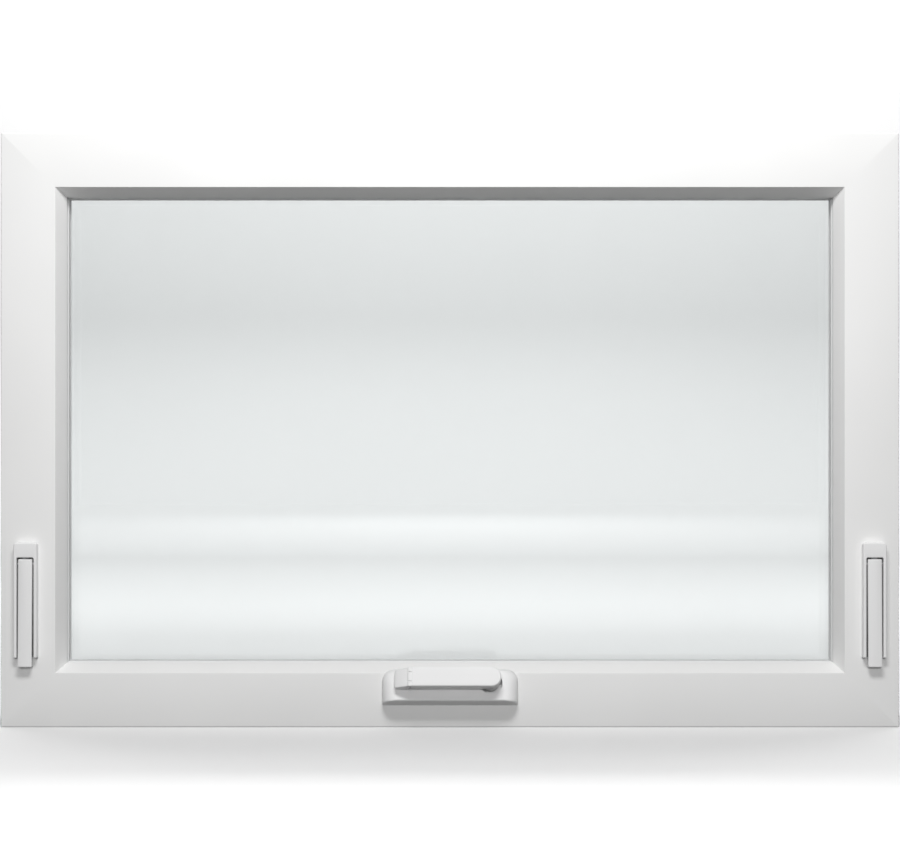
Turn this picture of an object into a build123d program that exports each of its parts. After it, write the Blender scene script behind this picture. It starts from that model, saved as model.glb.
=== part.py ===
from build123d import *
import math
import os

# An awning window unit seen from the room: a hollow frame, a glazed sash that projects
# outwards at the bottom, side stays with sliding shoes, a worm operator with two arms,
# a folding crank and two side locks.
# Millimetres.  X runs to the right as seen from the room, Y runs outdoors, Z runs up.
# The origin is on the underside of the sill, at mid width and mid depth.
# A profile is drawn as (u, d): u inwards from the unit's outer edge, d outdoors from
# the room face of the frame.

# ---- unit ----
UNIT_WIDTH = 901.7
UNIT_HEIGHT = 596.9
FRAME_DEPTH = 83.0

# ---- frame profile ----
WALL = 2.6
JAMB_WALL = 9.0
FACE_WIDTH = 54.4
BEVEL_WIDTH = 8.4
BEVEL_DEPTH = 15.5
FLANGE_DEPTH = 18.0
OUTER_CHAMFER = 1.2
WEEP_HALF = 12.0
WEEP_LOW = 3.5
WEEP_HIGH = 5.5
WEEP_COVER_HALF = 18.0
WEEP_COVER_THICK = 1.2
WEEP_COVER_EDGE = 1.9

# ---- sash profile ----
HARDWARE_GAP = 15.0
CHAMBER_DEPTH = 26.0
SASH_LEG = 19.0
SASH_SEAL_GAP = 2.0
GLAZING_LEG = 7.0
SASH_DEPTH = 54.0
COVER_LIP_GAP = 3.5
COVER_LIP = 4.0
GLASS_EDGE_GAP = 2.0
PANE = 3.0
AIR_GAP = 14.0
GLASS_RECESS = 32.0
SEAL = 1.0
TAPE = 2.0
BEAD_REVEAL_STEP = 0.4
BEAD_SHOULDER = 2.4
WEATHERSTRIP_EDGE = 1.5
SPACER_WIDTH = 5.0
SPACER_INSET = 0.5
GASKET_EDGE = 2.0
TAPE_EDGE = 1.0
OUTER_BITE = 6.0
OUTER_SLOPE = 4.6
PAD_HALF = 40.0
PAD_PLACE = 250.0
STIFFENER_SKIN = 1.5
STIFFENER_FIT = 0.2
STIFFENER_END = 60.0

# ---- stays ----
OPEN_ANGLE = 40.0
STAY_LINE = 31.0
SHOE_DROP = 27.0
HINGE_LEVEL = 18.8
STRIP = 2.5
STAY_WIDTH = 16.0
TRACK_BASE = 1.2
TRACK_WIDTH = 18.0
TRACK_RISE = 4.5
SHOE_LENGTH = 30.0
SHOE_THICK = 4.6
SHOE_CLEARANCE = 0.4
STAY_STANDOFF = 6.6
SASH_PLATE = 2.4
PIN_RADIUS = 3.0
RUNNING = 0.06
OPEN_PIVOT = 0.35
COLLAR_RADIUS = 5.0
COLLAR_THICK = 1.2
SIDE_PLAY = 0.3
SHOE_PIN_COLLAR = 4.0
TRACK_LOW_END = 8.0
TRACK_HIGH_GAP = 2.0
TRACK_LOW_SCREW = 45.0
PLATE_HALF_DEPTH = 7.0
PLATE_LEG_OVERLAP = 18.0
PLATE_DROP = 34.0
PLATE_RISE = 10.0
PLATE_SCREW_DROPS = (18.0, 29.0)
PLATE_SCREW_LENGTH = 11.0

# ---- operator ----
SHAFT_X = 40.7
SHAFT_TILT = 22.0
GEAR_LEVEL = 31.0
GEAR_THICK = 4.0
WORM_RADIUS = 6.0
WORM_LEAD = 2.4
WORM_LENGTH = 15.0
GEAR_TEETH = 40
THREAD_RISE = 0.7
THREAD_ROOT = 0.95
THREAD_SLACK = 0.14
MESH_GAP = 0.15
FLANK_ANGLE = 20.0
SHAFT_RADIUS = 4.0
BARREL_RADIUS = 8.5
GEAR_HUB_RADIUS = 8.5
ARM_WIDTH = 15.0
LINK_WIDTH = 14.0
LINK_THICK = 3.0
LINK_GAP = 1.5
BRACKET_THICK = 3.5
BRACKET_HINGE_RADIUS = 2.0
BRACKET_KNUCKLE_WALL = 2.0
BRACKET_END = 9.0
BRACKET_HALF_DEPTH = 6.0
BRACKET_LINK_GAP = 1.6
BRACKET_EAR_GAP = 0.4
BRACKET_TROUGH_FLOOR = 0.5
BRACKET_TROUGH_SIDE = 2.0
BRACKET_PIN_BITE = 1.4
EAR_THICK = 4.0
EAR_RADIUS = 4.0
EAR_BAR_RISE = 2.4
EAR_FOOT_LENGTH = 20.0
EAR_FOOT_THICK = 2.0
EAR_FOOT_RISE = 14.0
EAR_SCREW_ALONG = 12.0
EAR_SCREW_RISE = 9.0
THRUST_COLLAR_GAP = 0.6
THRUST_COLLAR_LENGTH = 2.4
THRUST_COLLAR_RISE = 2.0
BARREL_START = 15.2
BARREL_END = 40.0
BARREL_FIT = 0.4
BARREL_RELIEF_TOP = 60.0
OPERATOR_PLATE_HALF = 32.0
PASSAGE_SIDE = 1.0
PASSAGE_DROP = 6.0
PASSAGE_TOP = 42.0
CASE_TOP = 4.0
CASE_TOP_GAP = 0.6
CASE_TOP_BACK_GAP = 2.0
CASE_FACE = 2.2
CASE_FACE_LEFT = 34.0
CASE_FACE_RIGHT = 22.0
CASE_FACE_INSET = 5.0
CASE_SCREW_INSET = 6.0
POST_FOOT_GAP = 0.9
POST_FOOT_THICK = 0.6
POST_RADIUS = 3.5
RIVET_WASHER_GAP = 0.2
RIVET_LOW_REACH = 0.5

# ---- crank and cover ----
CRANK_FRONT = 65.7
CRANK_BACK = 47.9
CRANK_WIDTH = 19.8
CRANK_FREE_END = 38.0
KNOB_END = 55.1
KNOB_SLOPE = 10.7
KNOB_GAP = 3.0
CRANK_REAR_STEP = 0.7
SET_SCREW_ALONG = 5.0
SET_SCREW_RADIUS = 2.0
CRANK_PARTING = 0.42
HUB_LENGTH = 7.0
HUB_STEP = 1.0
SHAFT_IN_CRANK = 12.0
LUG_GAP = 0.3
KNUCKLE_CLEARANCE = 0.4
LUG_WEB = 4.0
KNOB_PIN_RADIUS = 1.5
KNOB_FACE_STEP = 0.6
KNUCKLE_RADIUS = 3.5
KNUCKLE_HALF = 4.6
COVER_CLEARANCE = 0.7
COVER_HALF_WIDTH = 68.3
COVER_LOW = 22.0
COVER_LOW_RISE = 8.0
COVER_HIGH = 58.0
COVER_CORNER = 12.0
COVER_WALL = 2.0
COVER_END_RADIUS = 16.0
POCKET_RADIUS = 12.6
POCKET_START = 27.9

# ---- locks ----
LOCK_INSET = 26.0
LOCK_LOW = 70.6
LOCK_HIGH = 185.7
LOCK_WIDTH = 23.2
LOCK_SLOT_WIDTH = 16.9
LOCK_CAP = 14.9
LOCK_RISE = 8.6
LOCK_BASE = 2.0
LEVER_WIDTH = 14.6
LEVER_THICK = 6.6
LEVER_TIP = 61.5
LEVER_PIVOT = 165.0
LEVER_PIVOT_RISE = 4.6
LEVER_END_RADIUS = 4.4
LOCK_PIN_RADIUS = 1.8
HOOK_WIDTH = 6.0
HOOK_INNER = 35.2
HOOK_OUTER = 39.5
KEEPER_REACH = 33.0
KEEPER_RADIUS = 1.8
HOOK_REST_ANGLE = 60.0
KEEPER_LAG = 10.0
KEEPER_CHEEK = 2.5
KEEPER_CHEEK_GAP = 5.5
KEEPER_CHEEK_HALF = 5.0
KEEPER_FOOT_THICK = 1.6
KEEPER_FOOT_HALF = 16.0
KEEPER_TIP = 4.0
KEEPER_SCREW_HALF = 11.0
KEEPER_SCREW_EDGE = 6.0
HOOK_SIDE_GAP = 1.0
HOOK_HUB_RADIUS = 3.4
HOOK_ARM_HALF = 2.6
HOOK_ARM_SPREAD = 4.0
HOOK_CLAW_STEP = 6.0
HOOK_SLOT_DROP = 6.0
HOOK_FACE_DROP = 9.0
HOOK_SLOT_RISE = 19.5
HOOK_FLANGE_DROP = 35.5
LEVER_GAP = 0.4
LEVER_TIP_LIFT = 2.6
LEVER_THIN_LENGTH = 30.0
LEVER_TIP_LIP = 0.8
LEVER_TIP_LIP_LENGTH = 4.0
LEVER_HOOK_DROP = 7.0
LOCK_CORNER = 3.0
LOCK_CAP_WALL = 1.6
LOCK_TOP_WALL = 3.0
LOCK_PIVOT_ROOM = 0.8
LOCK_SCREW_LOW = 12.0
LOCK_SCREW_HIGH = 70.0

# ---- fixing ----
FIX_HOLE_RADIUS = 2.5
FIX_DEPTH = 60.0
JAMB_FIX_LOW = 148.0
JAMB_FIX_HIGH = 448.0
HEAD_FIX_SPACING = 500.0
SCREW_RADIUS = 1.8
SCREW_HEAD_RADIUS = 3.4
SCREW_HEAD_RISE = 1.8
SCREW_SHORT = 10.0
SCREW_LONG = 12.0
OVERCUT = 1.0
HAIR = 0.1
WORM_STEPS = 6

# ---- places that follow from the sizes above ----
ROOM_FACE = -FRAME_DEPTH / 2
LIP = FACE_WIDTH + BEVEL_WIDTH
BEVEL_LEAN = BEVEL_WIDTH / BEVEL_DEPTH
BEVEL_WALL = WALL * math.hypot(1, BEVEL_LEAN)
SASH_EDGE = JAMB_WALL + HARDWARE_GAP
LEG_END = SASH_EDGE + SASH_LEG
REBATE = LEG_END + GLAZING_LEG
GLASS_EDGE = REBATE + GLASS_EDGE_GAP
SIGHT_LINE = LIP + BEAD_REVEAL_STEP
OUTER_SIGHT = GLASS_EDGE + OUTER_BITE
SASH_FACE = FLANGE_DEPTH + SASH_SEAL_GAP
LEG_FACE = FLANGE_DEPTH + CHAMBER_DEPTH
SASH_BACK = SASH_FACE + SASH_DEPTH
GLASS_BACK = GLASS_RECESS + PANE + AIR_GAP + PANE
STAY_Y = ROOM_FACE + STAY_LINE
SHOE_Z = UNIT_HEIGHT - SHOE_DROP
STAY_LENGTH = (SHOE_Z - HINGE_LEVEL) / 2
STAY_U = JAMB_WALL + STAY_STANDOFF
PLATE_U = SASH_EDGE - SASH_PLATE
TILT = math.radians(SHAFT_TILT)
LEAD_ANGLE = math.atan(WORM_LEAD / (2 * math.pi * WORM_RADIUS))
GEAR_TOP = GEAR_LEVEL + GEAR_THICK / 2
GEAR_LOW = GEAR_LEVEL - GEAR_THICK / 2
LINK_TOP = GEAR_LOW - LINK_GAP
LINK_LOW = LINK_TOP - LINK_THICK
BRACKET_TOP = LINK_LOW - BRACKET_LINK_GAP
LOCK_X = UNIT_WIDTH / 2 - LOCK_INSET
SIDES = (-1, 1)
SIDE_NAMES = {-1: "left", 1: "right"}


def write(name, shape):
    """Save one sub-part as its own STEP file."""
    export_step(shape, f"parts/{name}.step")


def block(x0, x1, y0, y1, z0, z1):
    """A box between two corners."""
    size = Box(abs(x1 - x0), abs(y1 - y0), abs(z1 - z0))
    return Pos((x0 + x1) / 2, (y0 + y1) / 2, (z0 + z1) / 2) * size


def depth_block(x0, x1, d0, d1, z0, z1):
    """A box whose depth is given outdoors from the room face."""
    return block(x0, x1, ROOM_FACE + d0, ROOM_FACE + d1, z0, z1)


def rod(start, direction, length, radius):
    """A round bar from a point along a direction."""
    return extrude(Plane(origin=start, z_dir=direction) * Circle(radius), length)


def side_plate(points, x0, x1):
    """A plate across X from a closed outline of (y, z) points."""
    face = make_face(Polyline(*[(x0, y, z) for y, z in points], close=True))
    return extrude(face, x1 - x0, dir=(1, 0, 0))


# ---------------------------------------------------------------- framed members


def mitre(side):
    """The four-sided prism that a member of one side may fill, cut at 45 degrees."""
    half = UNIT_WIDTH / 2
    reach = UNIT_HEIGHT / 2
    corners = {
        "left": [(-half, 0), (-half, UNIT_HEIGHT), (reach - half, reach)],
        "right": [(half, 0), (half, UNIT_HEIGHT), (half - reach, reach)],
        "low": [(-half, 0), (half, 0), (half - reach, reach), (reach - half, reach)],
        "high": [
            (-half, UNIT_HEIGHT),
            (half, UNIT_HEIGHT),
            (half - reach, reach),
            (reach - half, reach),
        ],
    }[side]
    face = make_face(Polyline(*[(x, -FRAME_DEPTH, z) for x, z in corners], close=True))
    return extrude(face, 2 * FRAME_DEPTH, dir=(0, 1, 0))


def profile_solid(points, side):
    """A (u, d) profile run the full length of one side."""
    half = UNIT_WIDTH / 2
    if side in ("left", "right"):
        sign = -1 if side == "left" else 1
        path = [(sign * (half - u), ROOM_FACE + d, 0) for u, d in points]
        length, way = UNIT_HEIGHT, (0, 0, 1)
    else:
        base = 0 if side == "low" else UNIT_HEIGHT
        sign = 1 if side == "low" else -1
        path = [(-half, ROOM_FACE + d, base + sign * u) for u, d in points]
        length, way = UNIT_WIDTH, (1, 0, 0)
    face = make_face(Polyline(*path, close=True))
    return extrude(face, length, dir=way)


def member(points, hollows, side):
    """One mitred member with its lengthwise chambers."""
    bar = profile_solid(points, side)
    for hollow in hollows:
        bar -= profile_solid(hollow, side)
    return bar & mitre(side)


def ring(points):
    """The same profile run round all four sides as one closed loop."""
    sides = [member(points, [], side) for side in ("left", "right", "low", "high")]
    return sides[0] + sides[1] + sides[2] + sides[3]


def rectangle(u0, u1, d0, d1):
    """Four corners of a plain profile."""
    return [(u0, d0), (u1, d0), (u1, d1), (u0, d1)]


FRAME_OUTLINE = [
    (0, OUTER_CHAMFER),
    (OUTER_CHAMFER, 0),
    (FACE_WIDTH, 0),
    (LIP, BEVEL_DEPTH),
    (LIP, FLANGE_DEPTH),
    (JAMB_WALL, FLANGE_DEPTH),
    (JAMB_WALL, FRAME_DEPTH),
    (0, FRAME_DEPTH),
]
FRAME_HOLLOWS = [
    [
        (WALL, WALL),
        (FACE_WIDTH + WALL * BEVEL_LEAN - BEVEL_WALL, WALL),
        (FACE_WIDTH + (FLANGE_DEPTH - WALL) * BEVEL_LEAN - BEVEL_WALL, FLANGE_DEPTH - WALL),
        (WALL, FLANGE_DEPTH - WALL),
    ],
    rectangle(WALL, JAMB_WALL - WALL, FLANGE_DEPTH, FRAME_DEPTH - WALL),
]
LIP_EDGE = JAMB_WALL + COVER_LIP_GAP
SASH_OUTLINE = [
    (LIP_EDGE, SASH_BACK),
    (LIP_EDGE, SASH_BACK - COVER_LIP),
    (SASH_EDGE, SASH_BACK - COVER_LIP),
    (SASH_EDGE, LEG_FACE),
    (LEG_END, LEG_FACE),
    (LEG_END, SASH_FACE),
    (REBATE, SASH_FACE),
    (REBATE, GLASS_BACK + TAPE),
    (OUTER_SIGHT, GLASS_BACK + TAPE),
    (OUTER_SIGHT - OUTER_SLOPE, SASH_BACK),
]
SASH_HOLLOWS = [
    rectangle(LEG_END + WALL, REBATE - WALL, SASH_FACE + WALL, LEG_FACE),
    rectangle(SASH_EDGE + WALL, REBATE - WALL, LEG_FACE + WALL, SASH_BACK - COVER_LIP),
]
BEAD_BACK = GLASS_RECESS - SEAL
BEAD_OUTLINE = [
    (REBATE, SASH_FACE),
    (SIGHT_LINE - BEAD_SHOULDER, SASH_FACE),
    (SIGHT_LINE, SASH_FACE + BEAD_SHOULDER),
    (SIGHT_LINE, BEAD_BACK),
    (REBATE, BEAD_BACK),
]


# ---------------------------------------------------------------- fasteners


def screw(start, direction, length):
    """A pan-head screw whose head sits on the start point."""
    way = Vector(*direction).normalized()
    head = rod(Vector(*start) - way * SCREW_HEAD_RISE, way, SCREW_HEAD_RISE, SCREW_HEAD_RADIUS)
    return head + rod(start, way, length, SCREW_RADIUS)


def cleared(shape, fasteners):
    """A piece with the holes that its fasteners fill."""
    for fastener in fasteners:
        shape -= fastener
    return shape


# ---------------------------------------------------------------- operator geometry


def on_shaft(along, up=0.0, across=0.0):
    """A point by its distance along the shaft, up in the crank's plane and across."""
    y = STAY_Y - along * math.cos(TILT) + up * math.sin(TILT)
    z = GEAR_LEVEL + along * math.sin(TILT) + up * math.cos(TILT)
    return Vector(SHAFT_X + across, y, z)


SHAFT_AXIS = Vector(0, -math.cos(TILT), math.sin(TILT))
CRANK_UP = Vector(0, math.sin(TILT), math.cos(TILT))


def shaft_plane(along):
    """The plane square to the shaft, with its X along the row's X."""
    return Plane(origin=on_shaft(along), x_dir=(1, 0, 0), z_dir=SHAFT_AXIS)


def tooth_lean(side):
    """How far the gear's teeth lean from upright, so that they follow the thread."""
    return TILT - side * LEAD_ANGLE


def gear_radius(side):
    """Pitch radius of a gear that has the worm's normal pitch."""
    normal_pitch = WORM_LEAD * math.cos(LEAD_ANGLE)
    return GEAR_TEETH * normal_pitch / (2 * math.pi * math.cos(tooth_lean(side)))


def gear_centre(side):
    """Where a gear's upright post stands."""
    reach = WORM_RADIUS + gear_radius(side) + MESH_GAP
    return SHAFT_X + side * reach, STAY_Y


def worm():
    """A single-start thread: one section turned as it runs along the shaft."""
    half_pitch = WORM_LEAD / 4 - THREAD_SLACK
    slope = math.tan(math.radians(FLANK_ANGLE))
    tip = WORM_RADIUS + THREAD_RISE
    root = WORM_RADIUS - THREAD_ROOT
    tip_angle = 2 * math.pi * (half_pitch - THREAD_RISE * slope) / WORM_LEAD
    root_angle = 2 * math.pi * (half_pitch + THREAD_ROOT * slope) / WORM_LEAD
    flank = []
    for i in range(WORM_STEPS + 1):
        share = i / WORM_STEPS
        radius = tip + (root - tip) * share
        angle = tip_angle + (root_angle - tip_angle) * share
        flank.append((radius * math.cos(angle), radius * math.sin(angle)))
    mirrored = [(x, -y) for x, y in flank]
    outline = [
        Spline(*flank),
        ThreePointArc(flank[-1], (-root, 0), mirrored[-1]),
        Spline(*reversed(mirrored)),
        ThreePointArc(mirrored[0], (tip, 0), flank[0]),
    ]
    start = -WORM_LENGTH / 2
    turn = 360 * WORM_LENGTH / WORM_LEAD
    base = Plane(
        origin=on_shaft(start),
        x_dir=Vector(1, 0, 0).rotate(Axis((0, 0, 0), tuple(SHAFT_AXIS)), -turn / 2),
        z_dir=SHAFT_AXIS,
    )
    section = base * make_face(outline)
    return Solid.extrude_linear_with_rotation(
        section.face(), on_shaft(start), SHAFT_AXIS * WORM_LENGTH, turn
    )


def gear_sector(side):
    """The toothed sector that faces the worm, with leaning teeth."""
    radius = gear_radius(side)
    pitch = 2 * math.pi / GEAR_TEETH
    lean = tooth_lean(side)
    slope = math.tan(math.radians(FLANK_ANGLE)) / math.cos(lean)
    half = pitch / 4 - THREAD_SLACK / 2 / radius
    tip = radius + THREAD_RISE
    root = radius - THREAD_ROOT
    half_tip = half - THREAD_RISE * slope / radius
    half_root = half + THREAD_ROOT * slope / radius
    facing = math.pi if side > 0 else 0.0
    spread = math.radians(OPEN_ANGLE)
    count = int(spread / pitch) + 2
    offset = 0.5 if side > 0 else 0.0
    points = []
    for i in range(count):
        middle = facing - side * (i - 1 + offset) * pitch
        for part, reach in ((-half_root, root), (-half_tip, tip), (half_tip, tip), (half_root, root)):
            angle = middle - side * part
            points.append((reach * math.cos(angle), reach * math.sin(angle)))
    points.append((0, 0))
    twist = math.degrees(GEAR_THICK * math.tan(lean) / radius)
    x, y = gear_centre(side)
    base = Plane(origin=(x, y, GEAR_LOW), x_dir=(1, 0, 0), z_dir=(0, 0, 1))
    base = base.rotated((0, 0, side * twist / 2))
    section = base * make_face(Polyline(*points, close=True))
    return Solid.extrude_linear_with_rotation(
        section.face(), (x, y, GEAR_LOW), (0, 0, GEAR_THICK), -side * twist
    )


def bar_with_eyes(x0, x1, y, z0, z1, width):
    """A flat bar along X with round ends."""
    body = block(x0, x1, y - width / 2, y + width / 2, z0, z1)
    ends = [rod((x, y, z0), (0, 0, 1), z1 - z0, width / 2) for x in (x0, x1)]
    return body + ends[0] + ends[1]


# ---------------------------------------------------------------- frame


def frame_members():
    """Head, sill and two jambs, with the slots for locks and operator."""
    half = UNIT_WIDTH / 2
    parts = {
        "frame_head": member(FRAME_OUTLINE, FRAME_HOLLOWS, "high"),
        "frame_sill": member(FRAME_OUTLINE, FRAME_HOLLOWS, "low"),
        "frame_jamb_left": member(FRAME_OUTLINE, FRAME_HOLLOWS, "left"),
        "frame_jamb_right": member(FRAME_OUTLINE, FRAME_HOLLOWS, "right"),
    }
    slot = HOOK_WIDTH / 2 + HOOK_SIDE_GAP
    for side in SIDES:
        name = "frame_jamb_" + SIDE_NAMES[side]
        x = side * LOCK_X
        low, high = LEVER_PIVOT - HOOK_FACE_DROP, LEVER_PIVOT + HOOK_SLOT_RISE
        parts[name] -= depth_block(x - slot, x + slot, -OVERCUT, WALL + HAIR, low, high)
        low, high = LEVER_PIVOT - HOOK_FLANGE_DROP, LEVER_PIVOT + HOOK_OUTER
        start, end = FLANGE_DEPTH - WALL - HAIR, FLANGE_DEPTH + OVERCUT
        parts[name] -= depth_block(x - slot, x + slot, start, end, low, high)
        for z in (JAMB_FIX_LOW, JAMB_FIX_HIGH):
            start = (side * (half + OVERCUT), ROOM_FACE + FIX_DEPTH, z)
            parts[name] -= rod(start, (-side, 0, 0), JAMB_WALL + 2 * OVERCUT, FIX_HOLE_RADIUS)
        for fastener in track_screws(side) + lock_screws(side):
            parts[name] -= fastener
    for x in (-HEAD_FIX_SPACING / 2, HEAD_FIX_SPACING / 2):
        start = (x, ROOM_FACE + FIX_DEPTH, UNIT_HEIGHT + OVERCUT)
        parts["frame_head"] -= rod(start, (0, 0, -1), JAMB_WALL + 2 * OVERCUT, FIX_HOLE_RADIUS)
    parts["frame_sill"] -= operator_passage()
    for fastener in operator_screws():
        parts["frame_sill"] -= fastener
    for x in weep_places():
        parts["frame_sill"] -= weep_slot(x)
    return parts


def operator_passage():
    """The room that the sill gives the operator's barrel and its top plate."""
    bore = rod(on_shaft(SHAFT_IN_CRANK), SHAFT_AXIS, BARREL_END, BARREL_RADIUS + BARREL_FIT)
    reach = OPERATOR_PLATE_HALF + PASSAGE_SIDE
    start, end = FLANGE_DEPTH - WALL - HAIR, FLANGE_DEPTH + OVERCUT
    low = GEAR_LOW - PASSAGE_DROP
    return bore + depth_block(SHAFT_X - reach, SHAFT_X + reach, start, end, low, PASSAGE_TOP)


def weep_places():
    """Where the drain slots stand along the sill."""
    return (-UNIT_WIDTH / 3, UNIT_WIDTH / 3)


def weep_slot(x):
    """A drain through the outer wall of the sill."""
    start, end = FRAME_DEPTH - WALL - HAIR, FRAME_DEPTH + OVERCUT
    return depth_block(x - WEEP_HALF, x + WEEP_HALF, start, end, WEEP_LOW, WEEP_HIGH)


def weep_covers():
    """A thin louvre over each drain, on the outdoor face of the sill."""
    covers = []
    for x in weep_places():
        low, high = WEEP_LOW - WEEP_COVER_EDGE, WEEP_HIGH + WEEP_COVER_EDGE
        x0, x1 = x - WEEP_COVER_HALF, x + WEEP_COVER_HALF
        plate = depth_block(x0, x1, FRAME_DEPTH, FRAME_DEPTH + WEEP_COVER_THICK, low, high)
        start, end = FRAME_DEPTH - OVERCUT, FRAME_DEPTH + WEEP_COVER_THICK + OVERCUT
        middle = (WEEP_LOW + WEEP_HIGH) / 2
        plate -= depth_block(x - WEEP_HALF, x + WEEP_HALF, start, end, WEEP_LOW, middle)
        covers.append(plate)
    return Compound(children=covers)


# ---------------------------------------------------------------- sash and glass


def sash_members():
    """Two rails and two stiles, mitred like the frame."""
    names = {
        "sash_top_rail": "high",
        "sash_bottom_rail": "low",
        "sash_stile_left": "left",
        "sash_stile_right": "right",
    }
    parts = {name: member(SASH_OUTLINE, SASH_HOLLOWS, side) for name, side in names.items()}
    for side in SIDES:
        name = "sash_stile_" + SIDE_NAMES[side]
        parts[name] = cleared(parts[name], plate_screws(side) + keeper_screws(side))
    parts["sash_bottom_rail"] = cleared(parts["sash_bottom_rail"], bracket_screws())
    return parts


def glazing_beads():
    """The four room-side beads that hold the glass in."""
    names = {"top": "high", "bottom": "low", "left": "left", "right": "right"}
    return {f"glazing_bead_{n}": member(BEAD_OUTLINE, [], s) for n, s in names.items()}


def glass_pane(depth):
    """One pane, its room face at a depth."""
    x = UNIT_WIDTH / 2 - GLASS_EDGE
    return depth_block(-x, x, depth, depth + PANE, GLASS_EDGE, UNIT_HEIGHT - GLASS_EDGE)


def setting_blocks():
    """Two pads under the glass."""
    d0, d1 = GLASS_RECESS + SEAL, GLASS_BACK - SEAL
    pads = []
    for x in (-PAD_PLACE, PAD_PLACE):
        pads.append(depth_block(x - PAD_HALF, x + PAD_HALF, d0, d1, REBATE, GLASS_EDGE))
    return Compound(children=pads)


def stiffeners(names):
    """Channel bars inside the wide chamber of two members."""
    d0, d1 = LEG_FACE + WALL + STIFFENER_FIT, SASH_BACK - COVER_LIP - STIFFENER_FIT
    u0, u1 = SASH_EDGE + WALL + STIFFENER_FIT, REBATE - WALL - STIFFENER_FIT
    skin = STIFFENER_SKIN
    channel = [
        (u0, d0),
        (u1, d0),
        (u1, d0 + skin),
        (u0 + skin, d0 + skin),
        (u0 + skin, d1 - skin),
        (u1, d1 - skin),
        (u1, d1),
        (u0, d1),
    ]
    reach = UNIT_WIDTH / 2 - STIFFENER_END
    top = UNIT_HEIGHT - STIFFENER_END
    depth = FRAME_DEPTH
    bars = []
    for side in names:
        bar = profile_solid(channel, side)
        keep = block(-reach, reach, -depth, depth, -OVERCUT, UNIT_HEIGHT + OVERCUT)
        if side in ("left", "right"):
            keep = block(-UNIT_WIDTH, UNIT_WIDTH, -depth, depth, STIFFENER_END, top)
        bars.append(bar & keep)
    for fastener in every_sash_screw():
        bars = [bar - fastener for bar in bars]
    return Compound(children=bars)


# ---------------------------------------------------------------- stays


def at_u(side, u):
    """The X of a place u inwards from the unit's side edge."""
    return side * (UNIT_WIDTH / 2 - u)


def hinge_track(side):
    """The channel on the jamb that guides the shoe."""
    d0, d1 = STAY_LINE - TRACK_WIDTH / 2, STAY_LINE + TRACK_WIDTH / 2
    low, high = HINGE_LEVEL - TRACK_LOW_END, UNIT_HEIGHT - JAMB_WALL - TRACK_HIGH_GAP
    wall = JAMB_WALL
    body = depth_block(at_u(side, wall), at_u(side, wall + TRACK_RISE), d0, d1, low, high)
    body -= depth_block(
        at_u(side, wall + TRACK_BASE),
        at_u(side, wall + TRACK_RISE + OVERCUT),
        d0 + TRACK_BASE,
        d1 - TRACK_BASE,
        low - OVERCUT,
        high + OVERCUT,
    )
    return cleared(body, track_screws(side))


def track_screws(side):
    """Screws through the track, above and below the shoe's travel."""
    rises = (TRACK_LOW_SCREW, STAY_LENGTH / 2, STAY_LENGTH)
    x = at_u(side, JAMB_WALL + TRACK_BASE)
    length = JAMB_WALL - TRACK_BASE
    return [screw((x, STAY_Y, HINGE_LEVEL + rise), (side, 0, 0), length) for rise in rises]


def shoe(side):
    """The sliding block, bored for the sash's pin."""
    half = TRACK_WIDTH / 2 - TRACK_BASE - SHOE_CLEARANCE
    u0 = JAMB_WALL + TRACK_BASE + SHOE_CLEARANCE
    body = depth_block(
        at_u(side, u0),
        at_u(side, u0 + SHOE_THICK),
        STAY_LINE - half,
        STAY_LINE + half,
        SHOE_Z - SHOE_LENGTH / 2,
        SHOE_Z + SHOE_LENGTH / 2,
    )
    start = (at_u(side, JAMB_WALL), STAY_Y, SHOE_Z)
    return body - rod(start, (-side, 0, 0), HARDWARE_GAP, PIN_RADIUS + RUNNING)


def support_arm(side):
    """The flat stay from the jamb pivot up to the sash."""
    x = at_u(side, STAY_U)
    low, high = HINGE_LEVEL, HINGE_LEVEL + STAY_LENGTH
    x0, x1 = sorted((x, x - side * STRIP))
    body = block(x0, x1, STAY_Y - STAY_WIDTH / 2, STAY_Y + STAY_WIDTH / 2, low, high)
    for z in (low, high):
        body += rod((x, STAY_Y, z), (-side, 0, 0), STRIP, STAY_WIDTH / 2)
    slack = {low: RUNNING, high: RUNNING if side < 0 else OPEN_PIVOT}
    for z, gap in slack.items():
        start = (x + side * OVERCUT, STAY_Y, z)
        body -= rod(start, (-side, 0, 0), STRIP + 2 * OVERCUT, PIN_RADIUS + gap)
    return body


def arm_pivots():
    """The rivets on the jamb that the support arms turn on."""
    rivets = []
    for side in SIDES:
        way = (-side, 0, 0)
        start = (at_u(side, JAMB_WALL + TRACK_BASE), STAY_Y, HINGE_LEVEL)
        reach = STAY_STANDOFF - TRACK_BASE
        collar = rod(start, way, reach - SIDE_PLAY, COLLAR_RADIUS)
        post = rod(start, way, reach + STRIP + SIDE_PLAY, PIN_RADIUS)
        top = (at_u(side, STAY_U + STRIP + SIDE_PLAY), STAY_Y, HINGE_LEVEL)
        head = rod(top, way, COLLAR_THICK, COLLAR_RADIUS)
        rivets.append(collar + post + head)
    return Compound(children=rivets)


def sash_plates(side):
    """Two plates on the stile's edge: one carries the shoe's pin, one the support arm's."""
    plates = []
    for z in (SHOE_Z, HINGE_LEVEL + STAY_LENGTH):
        x0, x1 = at_u(side, PLATE_U), at_u(side, SASH_EDGE)
        d0, d1 = STAY_LINE - PLATE_HALF_DEPTH, LEG_FACE + PLATE_LEG_OVERLAP
        plate = depth_block(x0, x1, d0, d1, z - PLATE_DROP, z + PLATE_RISE)
        plates.append(cleared(plate, plate_screws(side)))
    return Compound(children=plates)


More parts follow.
